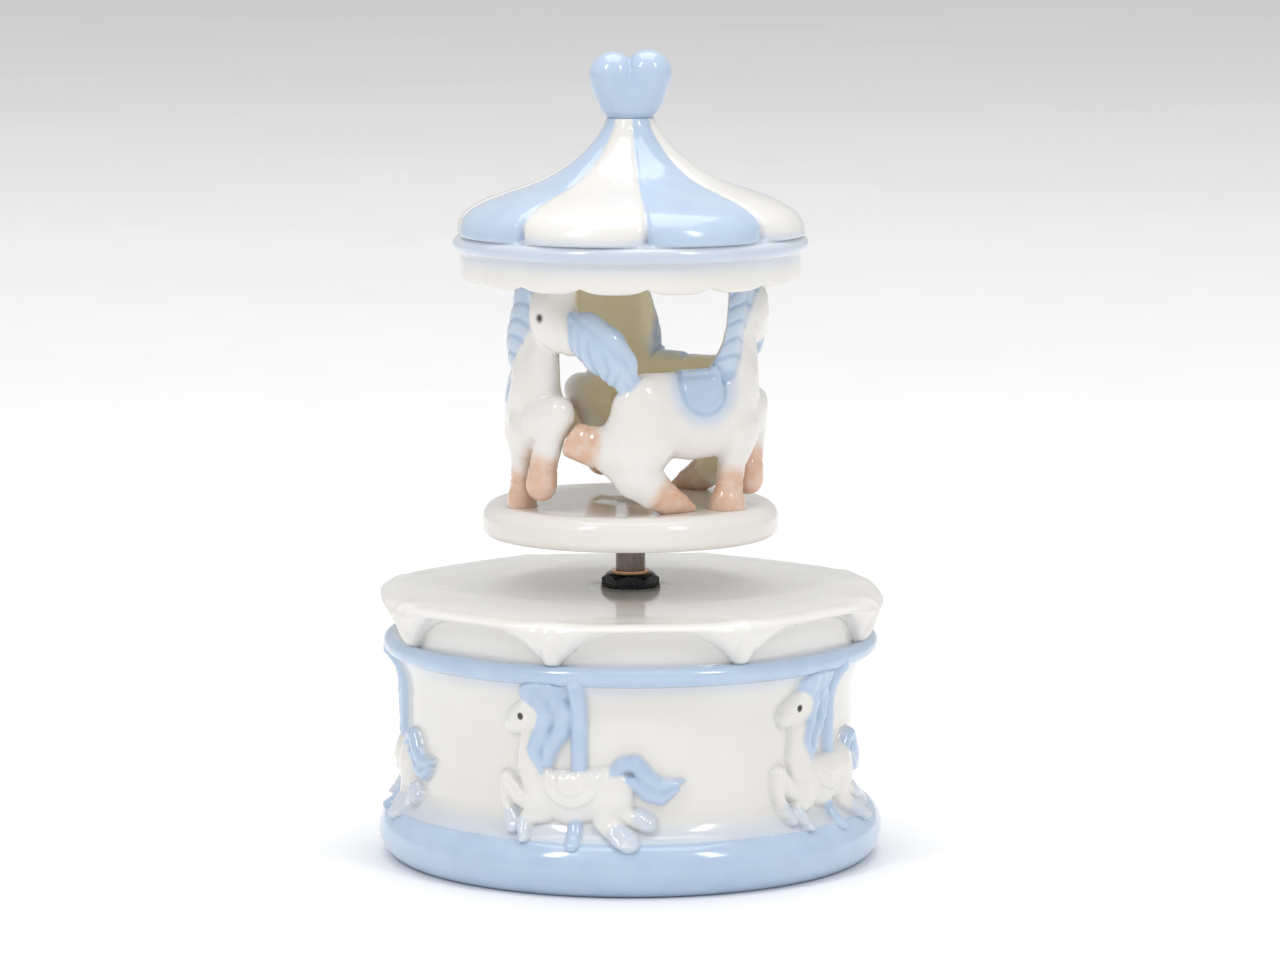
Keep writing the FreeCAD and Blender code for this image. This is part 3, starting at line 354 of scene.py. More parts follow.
class Shader:
    """Builds one node material a line at a time."""

    def __init__(self, name):
        self.material = bpy.data.materials.new(name)
        self.material.use_nodes = True
        self.tree = self.material.node_tree
        self.surface = self.tree.nodes["Principled BSDF"]
        self.place = self.node("ShaderNodeTexCoord").outputs["Object"]

    def node(self, kind, **settings):
        made = self.tree.nodes.new(kind)
        for key, value in settings.items():
            setattr(made, key, value)
        return made

    def link(self, source, target):
        self.tree.links.new(source, target)

    def noise(self, scale, detail=3.0, roughness=0.5, stretch=None):
        """Cloudy noise, its size given as features per metre."""
        made = self.node("ShaderNodeTexNoise")
        made.inputs["Scale"].default_value = scale
        made.inputs["Detail"].default_value = detail
        made.inputs["Roughness"].default_value = roughness
        place = self.place
        if stretch:
            mapping = self.node("ShaderNodeMapping")
            mapping.inputs["Scale"].default_value = stretch
            self.link(place, mapping.inputs["Vector"])
            place = mapping.outputs["Vector"]
        self.link(place, made.inputs["Vector"])
        return made.outputs["Fac"]

    def span(self, value, low, high, to_low, to_high):
        """Maps a range of a value onto another, smoothly and held at its ends."""
        made = self.node("ShaderNodeMapRange", interpolation_type="SMOOTHSTEP")
        ends = {"From Min": low, "From Max": high, "To Min": to_low, "To Max": to_high}
        for socket, number in ends.items():
            made.inputs[socket].default_value = number
        self.link(value, made.inputs["Value"])
        return made.outputs["Result"]

    def patches(self, scale, detail, low, high=0.7, amount=1.0):
        """Soft patches of noise, from 0 to an amount."""
        return self.span(self.noise(scale, detail), low, high, 0.0, amount)

    def mix(self, amount, first, second):
        """Mixes two colours. Either may be a tuple or a socket."""
        made = self.node("ShaderNodeMix", data_type="RGBA")
        for socket, value in ((MIX_FIRST, first), (MIX_SECOND, second)):
            if isinstance(value, tuple):
                made.inputs[socket].default_value = (*value, 1)
            else:
                self.link(value, made.inputs[socket])
        self.link(amount, made.inputs[MIX_FACTOR])
        return made.outputs[MIX_RESULT]

    def layer(self, name):
        return self.node("ShaderNodeAttribute", attribute_name=name).outputs["Fac"]

    def times(self, value, factor):
        made = self.node("ShaderNodeMath", operation="MULTIPLY")
        self.link(value, made.inputs[0])
        made.inputs[1].default_value = factor
        return made.outputs[0]

    def finish(self, colour, roughness, height=None, strength=0.2, distance=0.0002, **fixed):
        self.link(colour, self.surface.inputs["Base Color"])
        self.link(roughness, self.surface.inputs["Roughness"])
        if height is not None:
            made = self.node("ShaderNodeBump")
            made.inputs["Strength"].default_value = strength
            made.inputs["Distance"].default_value = distance
            self.link(height, made.inputs["Height"])
            self.link(made.outputs["Normal"], self.surface.inputs["Normal"])
        for key, value in fixed.items():
            self.surface.inputs[key.replace("_", " ")].default_value = value
        return self.material


WHITE_GLAZE = (0.81, 0.795, 0.765)
WARM_GLAZE = (0.78, 0.745, 0.695)
SPRAY_BLUE = (0.485, 0.605, 0.77)
# A darker blue, both for patches where the spray lies thicker and for painted shade in grooves.
POOLED_AND_SHADE_BLUE = (0.35, 0.465, 0.64)
BLUSH = (0.70, 0.435, 0.30)
# A dull yellow used as painted shade for the inside of the ring of horses.
SHADE_KHAKI = (0.86, 0.765, 0.50)
DOT_BLACK = (0.012, 0.010, 0.009)


def glazed_porcelain():
    """Glossy glazed porcelain. Sprayed colours come from the piece's paint layers: 'blue', 'blush'
    for hooves and 'dot' for painted eyes. Two more layers are painted shade: one tints the inside
    of the ring of horses a dull yellow, the other darkens grooves and creases to a darker blue."""
    s = Shader("glazed_porcelain")
    body = s.mix(s.patches(38.0, 4.0, 0.35, amount=0.55), WHITE_GLAZE, WARM_GLAZE)
    # Painted shade: the inside of the ring of horses is tinted a dull yellow.
    inside = s.mix(s.times(s.layer("inside_shade"), 0.9), body, SHADE_KHAKI)
    pooled = s.mix(s.patches(120.0, 2.0, 0.35, 0.75, 0.30), SPRAY_BLUE, POOLED_AND_SHADE_BLUE)
    blue = s.mix(s.layer("blue"), inside, pooled)
    # Painted shade: grooves and creases are darkened towards the darker blue.
    crease_shaded_blue = s.mix(s.layer("crease_shade"), blue, POOLED_AND_SHADE_BLUE)
    uneven_blush = s.mix(s.patches(420.0, 3.0, 0.35, amount=0.35), BLUSH, WARM_GLAZE)
    blush = s.mix(s.layer("blush"), crease_shaded_blue, uneven_blush)
    colour = s.mix(s.layer("dot"), blush, DOT_BLACK)
    roughness = s.span(s.noise(90.0, 4.0), 0.3, 0.75, 0.10, 0.21)
    return s.finish(colour, roughness, s.noise(260.0, 2.0), 0.05, 0.0003, Coat_Weight=0.35,
                    Coat_Roughness=0.04, IOR=1.52, Subsurface_Weight=0.12,
                    Subsurface_Radius=(0.0022, 0.0017, 0.0012), Subsurface_Scale=1.0)


def metal(name, colour, worn, rough, grain, scale):
    """Metal with a brushed or cast grain, a worn tint and uneven gloss."""
    s = Shader(name)
    streaks = s.noise(scale, 5.0, 0.6, grain)
    tinted = s.mix(s.patches(160.0, 4.0, 0.35, amount=0.7), colour, worn)
    roughness = s.span(streaks, 0.25, 0.8, rough * 0.7, rough * 1.4)
    return s.finish(tinted, roughness, streaks, 0.18, 0.00002, Metallic=1.0)


def matt(name, stipple, patches, colour, worn, rough, depth):
    """A matt skin: stipple and patches are noise settings, rough a range, depth a bump's own."""
    s = Shader(name)
    grain = s.noise(*stipple)
    tinted = s.mix(s.patches(*patches), colour, worn)
    return s.finish(tinted, s.span(grain, 0.3, 0.8, *rough), grain, *depth)


EVEN = (1.0, 1.0, 1.0)
COARSE, MEDIUM, FINE, CAST = 300.0, 420.0, 900.0, 1400.0
# Each metal's name, colour, worn tint, roughness, stretch of its grain and grain per metre.
METALS = (
    ("blackened_steel", (0.035, 0.035, 0.038), (0.075, 0.07, 0.068), 0.26, EVEN, MEDIUM),
    ("shaft_steel", (0.20, 0.165, 0.145), (0.12, 0.10, 0.09), 0.30, (1, 1, 0.12), FINE),
    ("spring_steel", (0.46, 0.49, 0.54), (0.32, 0.34, 0.42), 0.18, (0.2, 1, 1), FINE),
    ("screw_steel", (0.62, 0.62, 0.63), (0.45, 0.44, 0.43), 0.22, EVEN, FINE),
    ("plated_steel", (0.80, 0.79, 0.77), (0.66, 0.64, 0.60), 0.13, EVEN, COARSE),
    ("zinc_casting", (0.50, 0.50, 0.51), (0.38, 0.38, 0.40), 0.42, EVEN, CAST),
    ("brass", (0.80, 0.60, 0.27), (0.62, 0.44, 0.20), 0.24, (1, 1, 0.3), FINE),
    ("copper", (0.72, 0.40, 0.26), (0.52, 0.28, 0.18), 0.25, EVEN, FINE),
)

porcelain = glazed_porcelain()
materials = {row[0]: metal(*row) for row in METALS}
materials["black_rubber"] = matt(
    "black_rubber", (1500.0, 5.0, 0.65), (200.0, 3.0, 0.3), (0.018, 0.018, 0.02),
    (0.05, 0.05, 0.05), (0.55, 0.85), (0.35, 0.00006))
# The closing cover is white styrene with a fine stipple.
materials["cover_board"] = matt(
    "cover_board", (1100.0, 4.0, 0.6), (60.0, 4.0, 0.35), (0.80, 0.79, 0.76),
    (0.70, 0.685, 0.65), (0.32, 0.55), (0.3, 0.00005))
materials["white_porcelain"] = porcelain
materials["blue_porcelain"] = porcelain

# Every CAD node gets its slot's material. Some of them are replaced by the pieces made below.
for entry in frame["record"]["subparts"]:
    node = frame["nodes"][entry["node"]]
    node.data.materials.clear()
    node.data.materials.append(materials[entry["material_slot"]])


# --- Drum ---

# Points of an outline are (radius, height).
FOOT_CONTACT = (47.0, 0.0)
FOOT_GROOVE = (47.9, 10.4)
FOOT_BULGE = 5.95
WALL_RADIUS = 44.4
COVE_TOP = (WALL_RADIUS, 16.5)
FLARE_START = (WALL_RADIUS, 34.0)
BEAD_CENTRE = (47.7, 43.0)
BEAD_TUBE = 1.9
BEAD_LOW = (BEAD_CENTRE[0], BEAD_CENTRE[1] - BEAD_TUBE)
BEAD_HIGH = (BEAD_CENTRE[0], BEAD_CENTRE[1] + BEAD_TUBE)
HALF_ROUND = 0.001       # added to a tube's radius, so that rounding never makes its arc too short
FRIEZE_RADIUS = 46.6
FRIEZE_LOW = BEAD_HIGH[1] + 0.1

DECK_TOP = height_range("base_drum")[1]
DECK_UNDERSIDE = height_range("gasket")[1]
DECK_RADIUS = 50.1
DECK_SHARPNESS = 14      # how square the octagon's corners are
DECK_PHASE = -18.5
DECK_HOLE = 5.2
DECK_SLOPE = 0.30        # how far the deck falls towards its rim
RIM_HEIGHT = 52.2
RIM_INSET = 3.3
DRAPES = 8
DRAPE_RADIUS = 49
DRAPE_CROWN = 51.0

# The way back down from the deck's hole, through the hollow inside, to the foot.
DRUM_INSIDE = (
    (4.85, DECK_TOP), (4.6, DECK_TOP - 0.25), (4.6, DECK_UNDERSIDE + 0.1), (4.8, DECK_UNDERSIDE),
    (41.5, DECK_UNDERSIDE), (43.0, DECK_UNDERSIDE - 1.2), (43.0, 43.0), (41.0, 38.0),
    (41.0, 26.0), (41.0, 14.2), (41.2, 14.0), (42.5, 14.0), (42.6, 13.8), (42.6, 6.0),
    (42.7, 1.6), (43.4, 0.5), (44.2, 0.05), (45.2, 0.0),
)

cove_arc = arc(FOOT_GROOVE, COVE_TOP, -7.0, 16)
flare_arc = arc(FLARE_START, BEAD_LOW, -11.0, 16)


def wall_radius_at(height):
    """Radius of the drum's outside between the foot's groove and the bead."""
    outline = cove_arc + flare_arc
    return np.interp(height, [p[1] for p in outline], [p[0] for p in outline])


def cove_blue(height):
    """Blue spray from the foot that fades out up the cove."""
    rise = (height - FOOT_GROOVE[1]) / (COVE_TOP[1] - FOOT_GROOVE[1])
    return 0.55 * (1 - smooth_step(rise, 0.0, 0.85))


def flare_blue(height):
    """Blue spray from the bead that fades out down the wall."""
    return 0.42 * smooth_step(height, FLARE_START[1] + 3.4, BEAD_LOW[1])


def octagon_radius(angle, apothem, sharpness):
    """Radius of a soft octagon whose corners lie on the drape lines."""
    total = 0
    for index in range(DRAPES):
        middle = DECK_PHASE + (index + 0.5) * 360 / DRAPES
        facing = np.maximum(np.cos(np.radians(angle - middle)), 0)
        total = total + (facing / apothem) ** sharpness
    return total ** (-1 / sharpness)


def add_foot_and_wall(outline):
    for radius, height in arc(FOOT_CONTACT, FOOT_GROOVE, FOOT_BULGE, 30):
        outline.add(radius, height, 1.0)
    outline.add(FOOT_GROOVE[0] - 0.35, FOOT_GROOVE[1] + 0.05, 0.85)
    for radius, height in cove_arc[1:]:
        outline.add(radius, height, cove_blue(height))
    for share in np.linspace(0, 1, 24)[1:-1]:
        outline.add(WALL_RADIUS, COVE_TOP[1] + (FLARE_START[1] - COVE_TOP[1]) * share)
    for radius, height in flare_arc:
        outline.add(radius, height, flare_blue(height))
    for radius, height in arc(BEAD_LOW, BEAD_HIGH, BEAD_TUBE + HALF_ROUND, 18):
        outline.add(radius, height, 1.0)
    outline.add(FRIEZE_RADIUS + 0.25, BEAD_HIGH[1] - 0.25, 0.55)
    outline.add(FRIEZE_RADIUS, FRIEZE_LOW, 0.30)


def add_swags_and_deck(outline):
    """The cloth-like swags that hang from the deck's rim over the frieze, and the deck."""
    offset, middle = from_nearest(angles, DECK_PHASE, DRAPES)
    along = offset * math.radians(1) * DRAPE_RADIUS
    arch_rise = 7.3 * (1 - (1 - np.clip((middle - 0.07) / 0.93, 0, 1)) ** 3.2)
    swag = FRIEZE_LOW + arch_rise
    rim = octagon_radius(angles, DECK_RADIUS, DECK_SHARPNESS)
    tip = 1 - smooth_step(middle, 0.04, 0.50)
    for share in np.linspace(0.15, 0.94, 5):
        height = FRIEZE_LOW + (swag - BEAD_HIGH[1] - 0.5) * share
        outline.add(FRIEZE_RADIUS, height, 0.06 * (1 - share))

    fold = 0.55 * bump(along, 0.9) - 0.50 * bump(along + 1.9, 0.8) - 0.35 * bump(along - 2.2, 0.9)
    edge_low = (FRIEZE_RADIUS * ones, swag - 0.4)
    lift = (FRIEZE_RADIUS + 0.9 + 1.6 * tip, swag - 0.75 + 0.5 * tip)
    swell = (rim - 1.1 - 0.3 * tip, swag - 0.2 + (DRAPE_CROWN - swag) * 0.45 * tip)
    edge_high = (rim, RIM_HEIGHT * ones - 1.0 * tip)
    for share in np.linspace(0, 1, 20)[1:]:
        radius, height = [bezier(way, share) for way in zip(edge_low, lift, swell, edge_high)]
        outline.add(radius + fold * math.sin(math.pi * min(share, 0.93)) ** 0.7, height)

    low_rim, high_rim = edge_high[1], DECK_TOP - DECK_SLOPE + 0.28 * bump(along, 3.0)
    for turn in np.linspace(0, math.pi / 2, 12)[1:]:
        shaped = fold * 0.5 * math.cos(turn) ** 1.5
        outline.add(rim - (1 - math.cos(turn)) * RIM_INSET + shaped,
                    low_rim + math.sin(turn) ** 0.9 * (high_rim - low_rim))
    edge = rim - RIM_INSET
    for inward in (0.6, 1.5, 2.8, 4.6, 7.5, 12.0, 18.0, 25.0, 32.0, 37.0):
        ridge = 0.28 * bump(along, 3.0 + inward) * bump(inward, 3.2)
        settle = 0.30 * smooth_step(inward, 0.0, 6.0)
        outline.add(edge - inward * (edge - DECK_HOLE) / (DECK_RADIUS - RIM_INSET - DECK_HOLE),
                    DECK_TOP - DECK_SLOPE + settle + ridge)


def build_drum():
    outline = Outline("blue")
    add_foot_and_wall(outline)
    add_swags_and_deck(outline)
    for radius, height in DRUM_INSIDE:
        outline.add(radius, height)
    turned_piece("porcelain_drum", outline, "base", "base_drum")


# --- Relief horses on the drum's wall ---

# Chains of (side step, height, half width, proud height). Side steps are along the wall, from
# the pole.
RELIEF_BODY = [
    [(-6.4, 19.6, 4.7, 2.0), (-2.0, 19.0, 5.2, 2.3), (2.6, 19.6, 5.0, 2.3), (6.0, 20.4, 4.8, 2.5)],
    [(-7.4, 20.5, 4.2, 1.9), (-9.6, 24.6, 3.3, 1.9), (-9.6, 30.0, 2.6, 1.8)],
    [(-9.4, 34.8, 3.7, 2.3), (-12.4, 33.4, 2.7, 2.1), (-13.4, 32.8, 2.2, 2.0)],
    [(-9.0, 17.6, 2.8, 1.9), (-12.2, 18.4, 1.9, 1.9), (-15.0, 21.6, 1.8, 2.2),
     (-15.2, 17.6, 1.4, 1.8), (-13.9, 14.0, 1.3, 1.8)],
    [(-7.6, 16.6, 3.2, 1.9), (-10.4, 14.6, 1.7, 1.8), (-10.4, 12.6, 1.4, 2.2)],
    [(6.4, 19.0, 4.4, 2.5), (5.4, 15.0, 2.7, 2.2), (8.4, 11.8, 1.9, 2.3)],
    [(7.4, 18.0, 2.8, 1.8), (9.6, 15.6, 1.7, 1.8), (12.8, 14.2, 1.6, 2.0)],
]
# The pole above and below the horse, its forelock and mane, and its tail.
RELIEF_BLUE = [
    [(0.2, 42.2, 1.75, 1.9), (0.2, 24.8, 1.7, 1.7)],
    [(-0.4, 14.6, 1.5, 1.5), (-0.4, 10.0, 1.4, 2.0)],
    [(-9.2, 38.8, 2.3, 2.1), (-7.0, 40.6, 2.0, 1.7), (-3.4, 39.6, 1.9, 1.5)],
    [(-8.2, 38.4, 2.2, 2.4), (-6.2, 35.0, 1.9, 2.5), (-7.4, 31.4, 1.8, 2.5),
     (-8.8, 28.0, 1.7, 2.5), (-7.6, 25.6, 1.3, 2.3), (-6.8, 23.6, 0.6, 2.1)],
    [(-4.6, 38.8, 2.2, 2.0), (-2.8, 35.4, 1.9, 2.1), (-3.4, 31.8, 1.9, 2.1),
     (-5.6, 28.6, 1.8, 2.2), (-6.0, 25.6, 1.2, 2.1)],
    [(6.8, 23.4, 1.4, 2.0), (8.6, 25.6, 1.6, 2.2), (11.2, 25.8, 1.7, 2.2), (13.4, 23.0, 1.8, 2.2),
     (15.6, 21.4, 1.7, 2.1), (19.0, 21.8, 0.8, 1.7), (20.6, 22.2, 0.4, 1.2)],
    [(8.0, 22.6, 1.1, 1.6), (10.8, 22.2, 1.3, 1.8), (13.4, 19.8, 1.5, 2.0),
     (16.2, 18.9, 1.4, 1.9), (19.0, 20.6, 0.8, 1.6)],
]
RELIEF_HOOVES = [
    [(-14.2, 15.4, 1.4, 2.0), (-12.9, 13.0, 1.5, 2.1)],
    [(-10.8, 13.8, 1.6, 2.4), (-9.8, 11.4, 1.2, 2.4)],
    [(7.4, 12.8, 2.1, 2.6), (9.8, 10.9, 2.2, 2.6)],
    [(11.6, 15.2, 1.8, 2.2), (13.7, 14.2, 1.8, 2.2)],
]
RELIEF_ANKLES = ((-9.6, 10.4), (10.4, 10.0), (14.6, 13.6))
RELIEF_SADDLE = (-1.0, 22.4)
RELIEF_EYE = (-11.1, 34.5)
RELIEF_SIDES = (-19.5, 23.5)
RELIEF_HEIGHTS = (8.4, 44.0)
RELIEF_PITCH = 0.24
RELIEF_ROOT = 0.9        # how deep the relief's back lies inside the wall
RELIEF_RADIUS = 45.0
RELIEF_POLE = -13.0
RELIEF_COUNT = 5


def domes(side, height, chains):
    """Height of rounded ridges over flat ground, for chains as in the tables above."""
    top = np.zeros_like(side)
    for chain in chains:
        ridge = np.zeros_like(side)
        for (x0, y0, r0, h0), (x1, y1, r1, h1) in zip(chain, chain[1:]):
            ax, ay = x1 - x0, y1 - y0
            t = np.clip(((side - x0) * ax + (height - y0) * ay) / (ax * ax + ay * ay), 0, 1)
            away = np.hypot(side - x0 - t * ax, height - y0 - t * ay) / (r0 + t * (r1 - r0))
            dome = np.sqrt(np.maximum(1 - away ** 2.4, 0))
            ridge = np.maximum(ridge, (h0 + t * (h1 - h0)) * dome)
        top = merged(top, ridge)
    return top


def softened(values, passes):
    """Blurs a grid a little, the way thick glaze softens an edge."""
    for _ in range(passes):
        padded = np.pad(values, 1, mode="edge")
        values = (padded[1:-1, 1:-1] * 4 + padded[:-2, 1:-1] + padded[2:, 1:-1]
                  + padded[1:-1, :-2] + padded[1:-1, 2:]) / 8
    return values


def relief_grid():
    """The relief's side steps, heights, proud heights and paint, one value per grid point."""
    side, height = np.meshgrid(np.arange(*RELIEF_SIDES, RELIEF_PITCH),
                               np.arange(*RELIEF_HEIGHTS, RELIEF_PITCH), indexing="ij")
    body = domes(side, height, RELIEF_BODY)
    blue_parts = domes(side, height, RELIEF_BLUE)
    hooves = domes(side, height, RELIEF_HOOVES)
    saddle_away = np.hypot(side - RELIEF_SADDLE[0], height - RELIEF_SADDLE[1])
    below = smooth_step(height, 25.4, 23.8)
    cloth = 0.50 * smooth_step(saddle_away, 5.5, 4.9) + 0.34 * smooth_step(saddle_away, 3.1, 2.5)
    body = body + cloth * below * (body > 0.6)
    stitches = bump(height - 24.3, 0.8) * (side > -6) * (side < 6.2)
    body = body + 0.18 * stitches * np.sin(side * 2.9) * (body > 0.8)
    strands = np.sin(2.6 * side + 1.5 * np.sin(height * 0.6)) * 0.10
    blue_parts = blue_parts + strands * (blue_parts > 0.7) * (side < -1.9)
    proud = merged(merged(body, np.maximum(blue_parts, 0)), hooves)
    eye = np.hypot((side - RELIEF_EYE[0]) / 0.62, (height - RELIEF_EYE[1]) / 0.72)
    proud = proud + 0.12 * bump(eye, 0.8) * (proud > 0)
    ankle = sum(bump(np.hypot(side - x, height - y) - 1.9, 0.28) for x, y in RELIEF_ANKLES)
    proud = np.maximum(proud - 0.14 * ankle * (proud > 0.3), 0)
    proud = softened(proud, 1)

    tint = smooth_step(blue_parts - body, -0.25, 0.35)
    hoof_tint = 0.55 * smooth_step(hooves - np.maximum(body, blue_parts), -0.35, 0.25)
    hoof_tint = hoof_tint * (hooves > 0.02)
    shade = 0.22 * smooth_step(softened(proud, 14), 0.05, 0.5) * smooth_step(proud, 0.7, 0.1)
    blue = softened(np.maximum(np.maximum(tint * (blue_parts > 0.02), hoof_tint), shade), 2)
    dot = smooth_step(eye, 1.15, 0.85)
    return side, height, proud, np.clip(blue, 0, 1), dot


def slab_faces(rows, columns):
    """Quads of a slab with a front and a back grid of points, and the edges that join them."""
    front = np.arange(rows * columns).reshape(rows, columns)
    back = front + rows * columns
    grids = ((front[:-1, :-1], front[1:, :-1], front[1:, 1:], front[:-1, 1:]),
             (back[:-1, :-1], back[:-1, 1:], back[1:, 1:], back[1:, :-1]))
    quads = [np.stack(corners, -1).reshape(-1, 4) for corners in grids]
    for near, far in ((front[:, 0], back[:, 0]), (front[-1, :], back[-1, :]),
                      (front[::-1, -1], back[::-1, -1]), (front[0, ::-1], back[0, ::-1])):
        quads.append(np.stack([near[1:], near[:-1], far[:-1], far[1:]], -1))
    return np.concatenate(quads)


def build_reliefs():
    side, height, proud, blue, dot = relief_grid()
    sunk = 0.06 * (1 - smooth_step(proud, 0.0, 0.12))
    ground = wall_radius_at(height)
    front = (ground + proud - sunk).ravel()
    back = (ground - RELIEF_ROOT).ravel()
    faces = slab_faces(*side.shape)
    ground_tint = np.maximum(cove_blue(height), flare_blue(height)) * smooth_step(proud, 0.6, 0.1)
    layers = {"blue": np.tile(np.maximum(blue, ground_tint).ravel(), 2),
              "dot": np.tile(dot.ravel(), 2)}
    for number in range(RELIEF_COUNT):
        angle = RELIEF_POLE + number * 360 / RELIEF_COUNT + np.degrees(side / RELIEF_RADIUS)
        points = np.concatenate([
            to_round(np.stack([angle.ravel(), height.ravel(), radius], 1))
            for radius in (front, back)])
        make_piece(f"relief_horse_skin_{number + 1}", points, faces, porcelain, "base",
                   [f"relief_horse_{number + 1}"], layers)


# --- Turntable ---

def build_turntable():
    low, high = height_range("turntable")
    radius = reach("turntable")
    bore = reach("spindle_ferrule") + 0.02
    profile = [(bore, low), (bore + 8, low), (radius - 3, low)]
    profile += arc((radius - 1.6, low), (radius - 0.05, low + 1.5), 1.56, 8)
    profile += arc((radius, high - 3.2), (radius - 2.9, high), 3.4, 14)
    profile += [(radius - 4.5, high), (22.0, high), (14.0, high - 0.05), (8.0, high - 0.05),
                (bore, high - 0.1)]
    outline = Outline("blush")
    # Painted shade: the sides and underside are tinted faintly with the blush colour, the top not
    # at all.
    for r, z in profile:
        outline.add(r, z, 0.05 if z < high - 0.5 else 0.0)
    turned_piece("porcelain_turntable", outline, "carousel", "turntable")


# --- Carousel horses ---

# A horse is modelled unrolled: along X goes the way round at this radius, Y is the height and
# Z the radius.
REFERENCE_RADIUS = 26.0
PER_DEGREE = math.radians(1) * REFERENCE_RADIUS
HORSE_PITCH = 0.34
HORSES = 3


def chain(*knots):
    """Knots given as (angle, height, radius), laid out flat at the reference radius."""
    return [(angle * PER_DEGREE, height, radius) for angle, height, radius in knots]


TORSO = chain((8, 91.2, 7.6), (20, 90.4, 8.3), (36, 89.9, 8.8), (52, 90.2, 8.6), (64, 90.6, 7.8),
              (71, 90.0, 6.2))
HAUNCH = chain((7, 90.6, 7.4), (3, 85, 6.2))
NECK = chain((63, 94, 8.6), (65.5, 104, 7.2), (71, 112, 7.1), (76, 121, 7.0))
SKULL = chain((77.5, 110.0, 5.8), (85, 107.4, 5.0), (91, 106.0, 4.0))
FOREHEAD = chain((84, 111.8, 4.0), (82, 121.0, 4.8))
JAW = chain((71.5, 107.5, 0.4), (73.5, 104.8, 0.5), (79, 102.9, 0.5), (86, 101.9, 0.4))
MANE = chain((51.0, 98.4, 3.6), (56.0, 104.0, 4.3), (62.5, 110.5, 5.2), (68.5, 120.0, 6.2))
TAIL = chain((-2.0, 97.6, 2.8), (-5.5, 100.4, 4.1), (-12.0, 103.5, 5.0), (-19.5, 106.4, 4.6),
             (-25.4, 108.3, 2.8))
HIND_BACK = chain((7, 87, 7.2), (-8, 83.8, 5.2), (-17, 84.3, 4.1), (-30, 85.6, 3.6),
                  (-36, 86.2, 3.5))
HIND_DOWN = chain((4, 84, 7.6), (3.0, 79.6, 5.6), (11, 76.2, 4.2), (19, 74.0, 3.4),
                  (28, 72.7, 2.2), (35, 71.6, 1.0))
FORE_KNEE = chain((75, 89.0, 4.4), (84.5, 90.6, 3.6), (80.0, 86.0, 3.1), (76.0, 81.0, 3.0),
                  (74.0, 76.4, 3.4))
FORE_DOWN = chain((61, 86, 5.0), (57, 80, 2.9), (55.0, 75, 2.9), (54.0, 72, 3.8), (53.6, 69, 4.3))
FORE_FETLOCK = FORE_DOWN[2:]
# (chain, depth, flatness, blend), in the order in which they are pressed on.
HORSE_LIMBS = (
    (TORSO, 22.5, 0.56, 0.5),
    (NECK, 23.2, 0.50, 1.6),
    (HIND_BACK, 23.2, 0.72, 3.0),
    (HIND_DOWN, 23.4, 0.74, 2.4),
    (FORE_DOWN, 24.6, 0.85, 1.6),
    (FORE_KNEE, 24.4, 0.92, 1.1),
    (SKULL, 23.6, 0.84, 1.2),
    (FOREHEAD, 22.8, 0.85, 1.8),
    (HAUNCH, 24.4, 0.50, 1.0),
)
# The blush on the hooves, as (chain, depth).
HORSE_HOOVES = (
    (chain((-22.5, 84.9, 4.0), (-36, 86.2, 3.8)), 23.6),
    (chain((18.5, 73.8, 3.4), (28, 72.6, 2.6), (35, 71.6, 1.4)), 23.6),
    (chain((75.0, 78.6, 3.6), (74.0, 75.0, 3.8)), 24.4),
    (chain((54.6, 75.0, 3.6), (53.6, 69, 4.4)), 24.6),
)
# The line round the top of each hoof, as (angle, height) and the way that it faces.
HOOF_LINES = (((-18.8, 84.6), (0.98, 0.18)), ((17.0, 74.8), (0.72, -0.70)),
              ((75.4, 79.8), (0.25, 0.97)), ((55.0, 76.8), (0.10, 1.0)))
HIND_SOLE = (-33.0 * PER_DEGREE, 83.3)
HIND_SOLE_FACES = (-0.879, 0.477)
SADDLE_SEAT = (36.5 * PER_DEGREE, 95.9)
SADDLE_RADIUS = 5.3
SADDLE_LINE_HEIGHT = 97.7
HORSE_EYE = (80.2 * PER_DEGREE, 109.5)
HORSE_NOSTRIL = (93.5 * PER_DEGREE, 105.6)
HORSE_INSIDE = 19.2      # radius of the ring of horses inside, at their feet
HORSE_OUTSIDE = 27.9
# The figure is bent less than the ring: its body runs nearer the axis, and its neck is a flat
# slab that touches the ring's circle below the head.
SAG = 2.4
SAG_MIDDLE = 31.0
SAG_SPREAD = 25.0
NECK_TOUCH = 76.0
NECK_RADIUS = 24.5
NECK_SPAN = 27.0
NECK_STRAIGHTNESS = 0.75
# The mane and the back of the neck are pressed toward the axis, so that they stay inside the
# body's outline.
MANE_PRESS = 2.4


def grooves(phase):
    """Narrow valleys, one for each whole step of the phase: 1 in the valley and 0 between."""
    away = np.abs((phase + 0.5) % 1.0 - 0.5)
    return np.exp(-(away / 0.13) ** 2)


def across(clay, knots, count, curve_out, lean):
    """Valleys across a chain, bowed by curve_out and slanted by lean."""
    length, side = clay.along(knots)
    whole = sum(math.hypot(b[0] - a[0], b[1] - a[1]) for a, b in zip(knots, knots[1:]))
    return grooves((length + curve_out * side ** 2 + lean * side) / whole * count)


def press_limbs(clay):
    """Body, head and legs, then mane and tail, whose distances are given back."""
    for knots, depth, flat, blend in HORSE_LIMBS:
        shape = clay.limb(knots, depth, flat)
        if knots is HIND_BACK:
            shape = smooth_max(shape, clay.side_of(HIND_SOLE, HIND_SOLE_FACES), 0.9)
        clay.add(shape, blend)
    mane = clay.limb(MANE, 24.2, 0.62)
    clay.add(mane, 0.4)
    tail = clay.limb(TAIL, 25.1, 0.58)
    clay.add(tail, 0.5)
    return mane, tail


